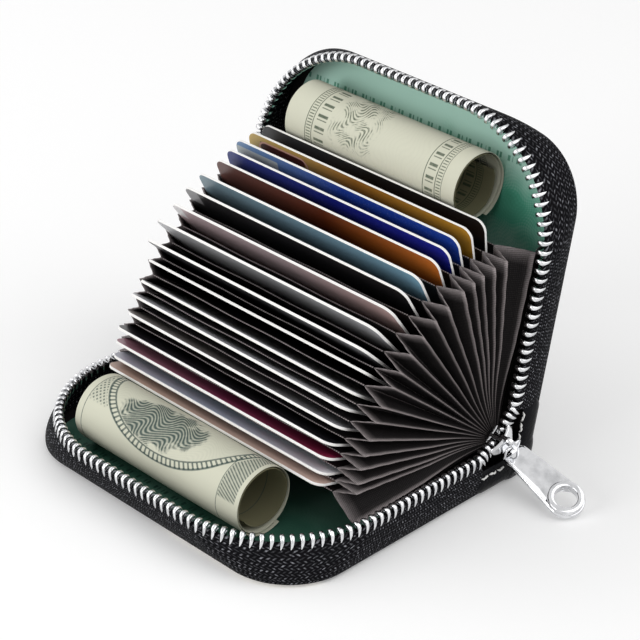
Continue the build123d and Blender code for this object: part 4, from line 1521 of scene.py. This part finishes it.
def green_paper(name, pale, middle, dark, front_sheen=0.0):
    """Green paper: a slow change of tone, a painted sheen that may make it paler towards the front, a fine
    engraved weave, and a row of small dark print strokes."""
    material, shader, place = begin(name, "UV", roughness=0.6, specular_ior_level=0.2)
    along, back, _ = place.axes()
    along, back = along * 1000, back * 1000
    slow = place.noise(38.0, 3.0)
    weave = waves(along, back, 0.9, 1.0) * 0.5 + waves(back, along, 0.8, 1.0) * 0.5
    # Painted sheen: the paper turns paler towards its front.
    tone = (slow * 1.5 - 0.40 + weave * 0.08 - back.soft(64.0, 78.0) * front_sheen).soft(0.0, 1.0)
    ground = tone.node("ValToRGB", {"stops": [(0.0, pale), (0.5, middle), (1.0, dark)]}, {0: tone})
    strokes = ((along * 4.4).sine() + (along * 1.7).sine()).soft(0.1, 0.6)
    strokes = strokes * between_lines(back, 73.4, 75.0, 0.2) * 0.8
    paint(shader, base_color=strokes.between(ground, dark))
    paint(shader, normal=relief(place.noise(900.0), 0.04 * mm, 0.3))
    return material


# The lower note's greens are the upper note's made darker: painted shade for its place between roll and
# tape.
shaded_greens = ((0.10, 0.21, 0.16, 1.0), (0.04, 0.13, 0.09, 1.0), (0.012, 0.050, 0.034, 1.0))
pale_greens = ((0.42, 0.66, 0.56, 1.0), (0.08, 0.36, 0.24, 1.0), (0.03, 0.20, 0.12, 1.0))
note_greens = [
    green_paper("shaded_green_paper", *shaded_greens),
    green_paper("pale_green_paper", *pale_greens, front_sheen=0.45),
]
for upper, half in enumerate(half_names):
    note = flat_note(upper)
    fit(note, f"flat_note_{half}_body", note_greens[upper], "green_paper", f"flat_note_{half}")


# Studio. A white floor that keeps the wallet's shadow, one large soft panel at the upper right and two
# small ones lower down, a world that metal mirrors brighter, and the camera where the picture was taken.
floor_half = 4.0
floor_level = -0.6 * mm
floor_grey = 0.92
floor_glow = (0.13, 0.13, 0.13, 1.0)
light_aim = (0.0, 0.0, 0.03)
world_light = 0.45
world_mirrored = 0.4


def floor():
    """A level square just below the wallet, from minus to plus its half size along both sides."""
    x, y = np.meshgrid([-floor_half, floor_half], [-floor_half, floor_half])
    ground = skin("floor", np.stack([x, y, np.full_like(x, floor_level)], axis=-1))
    material, shader, place = begin("studio_floor", roughness=0.9, specular_ior_level=0.0)
    shader.inputs["Base Color"].default_value = (floor_grey, floor_grey, floor_grey, 1.0)
    shader.inputs["Emission Strength"].default_value = 1.0
    kinds = ("Camera", "Glossy", "Transmission")
    seen = sum(place.node("LightPath", {}, {}, f"Is {kind} Ray") for kind in kinds)
    paint(shader, emission_color=seen.between((0, 0, 0, 1), floor_glow))
    ground.data.materials.append(material)
    return ground


ground = floor()


def panel(name, place, size, power):
    """An area light that faces the wallet."""
    light = bpy.data.lights.new(name, "AREA")
    light.shape = "RECTANGLE"
    light.size, light.size_y = size
    light.energy = power
    lamp = bpy.data.objects.new(name, light)
    lamp.location = place
    lamp.rotation_euler = turn_to(np.array(light_aim) - np.array(place))
    bpy.context.scene.collection.objects.link(lamp)
    return lamp


def turn_to(aim):
    """The turn that points a light's own down axis along aim."""
    x, y, z = aim / np.linalg.norm(aim)
    return (math.acos(-z), 0.0, math.atan2(y, x) - math.pi / 2)


panel("top_panel", (1.2, 0.4, 1.3), (2.5, 2.5), 21.0)
panel("left_panel", (-1.1, -0.3, 0.7), (1.0, 1.0), 4.0)
panel("front_panel", (-0.30, -1.15, 0.45), (1.0, 0.7), 7.0)

world = bpy.data.worlds.new("studio")
world.use_nodes = True
background = world.node_tree.nodes["Background"]
background.inputs["Color"].default_value = (1.0, 1.0, 1.0, 1.0)
mirrored = Shade(background.outputs[0]).node("LightPath", {}, {}, "Is Glossy Ray")
strength = mirrored * world_mirrored + world_light
world.node_tree.links.new(strength.socket, background.inputs["Strength"])
bpy.context.scene.world = world

camera_place = (0.3961, -0.37991, 0.35803)
camera_turn, camera_rise, camera_roll = np.radians([44.44, 29.68, 1.19])
camera_lens = 130.54
camera_film = 36.0


def camera():
    """Looks back along the line given by its turn and rise about the wallet, then rolls about that line."""
    eye = bpy.data.cameras.new("camera")
    eye.lens = camera_lens
    eye.sensor_width = camera_film
    eye.clip_start, eye.clip_end = 0.01, 20.0
    body = bpy.data.objects.new("camera", eye)
    rise, turn = math.sin(camera_rise), math.cos(camera_rise)
    back = np.array([math.sin(camera_turn) * turn, -math.cos(camera_turn) * turn, rise])
    right = np.cross(-back, (0, 0, 1))
    right /= np.linalg.norm(right)
    up = np.cross(right, -back)
    rolled_right = math.cos(camera_roll) * right + math.sin(camera_roll) * up
    rolled_up = -math.sin(camera_roll) * right + math.cos(camera_roll) * up
    axes = np.stack([rolled_right, rolled_up, back], axis=1)
    pose = np.eye(4)
    pose[:3, :3], pose[:3, 3] = axes, camera_place
    body.matrix_world = Matrix(pose.tolist())
    return body


view_camera = camera()
bpy.context.scene.collection.objects.link(view_camera)
bpy.context.scene.camera = view_camera
bpy.context.scene.view_settings.view_transform = "Standard"
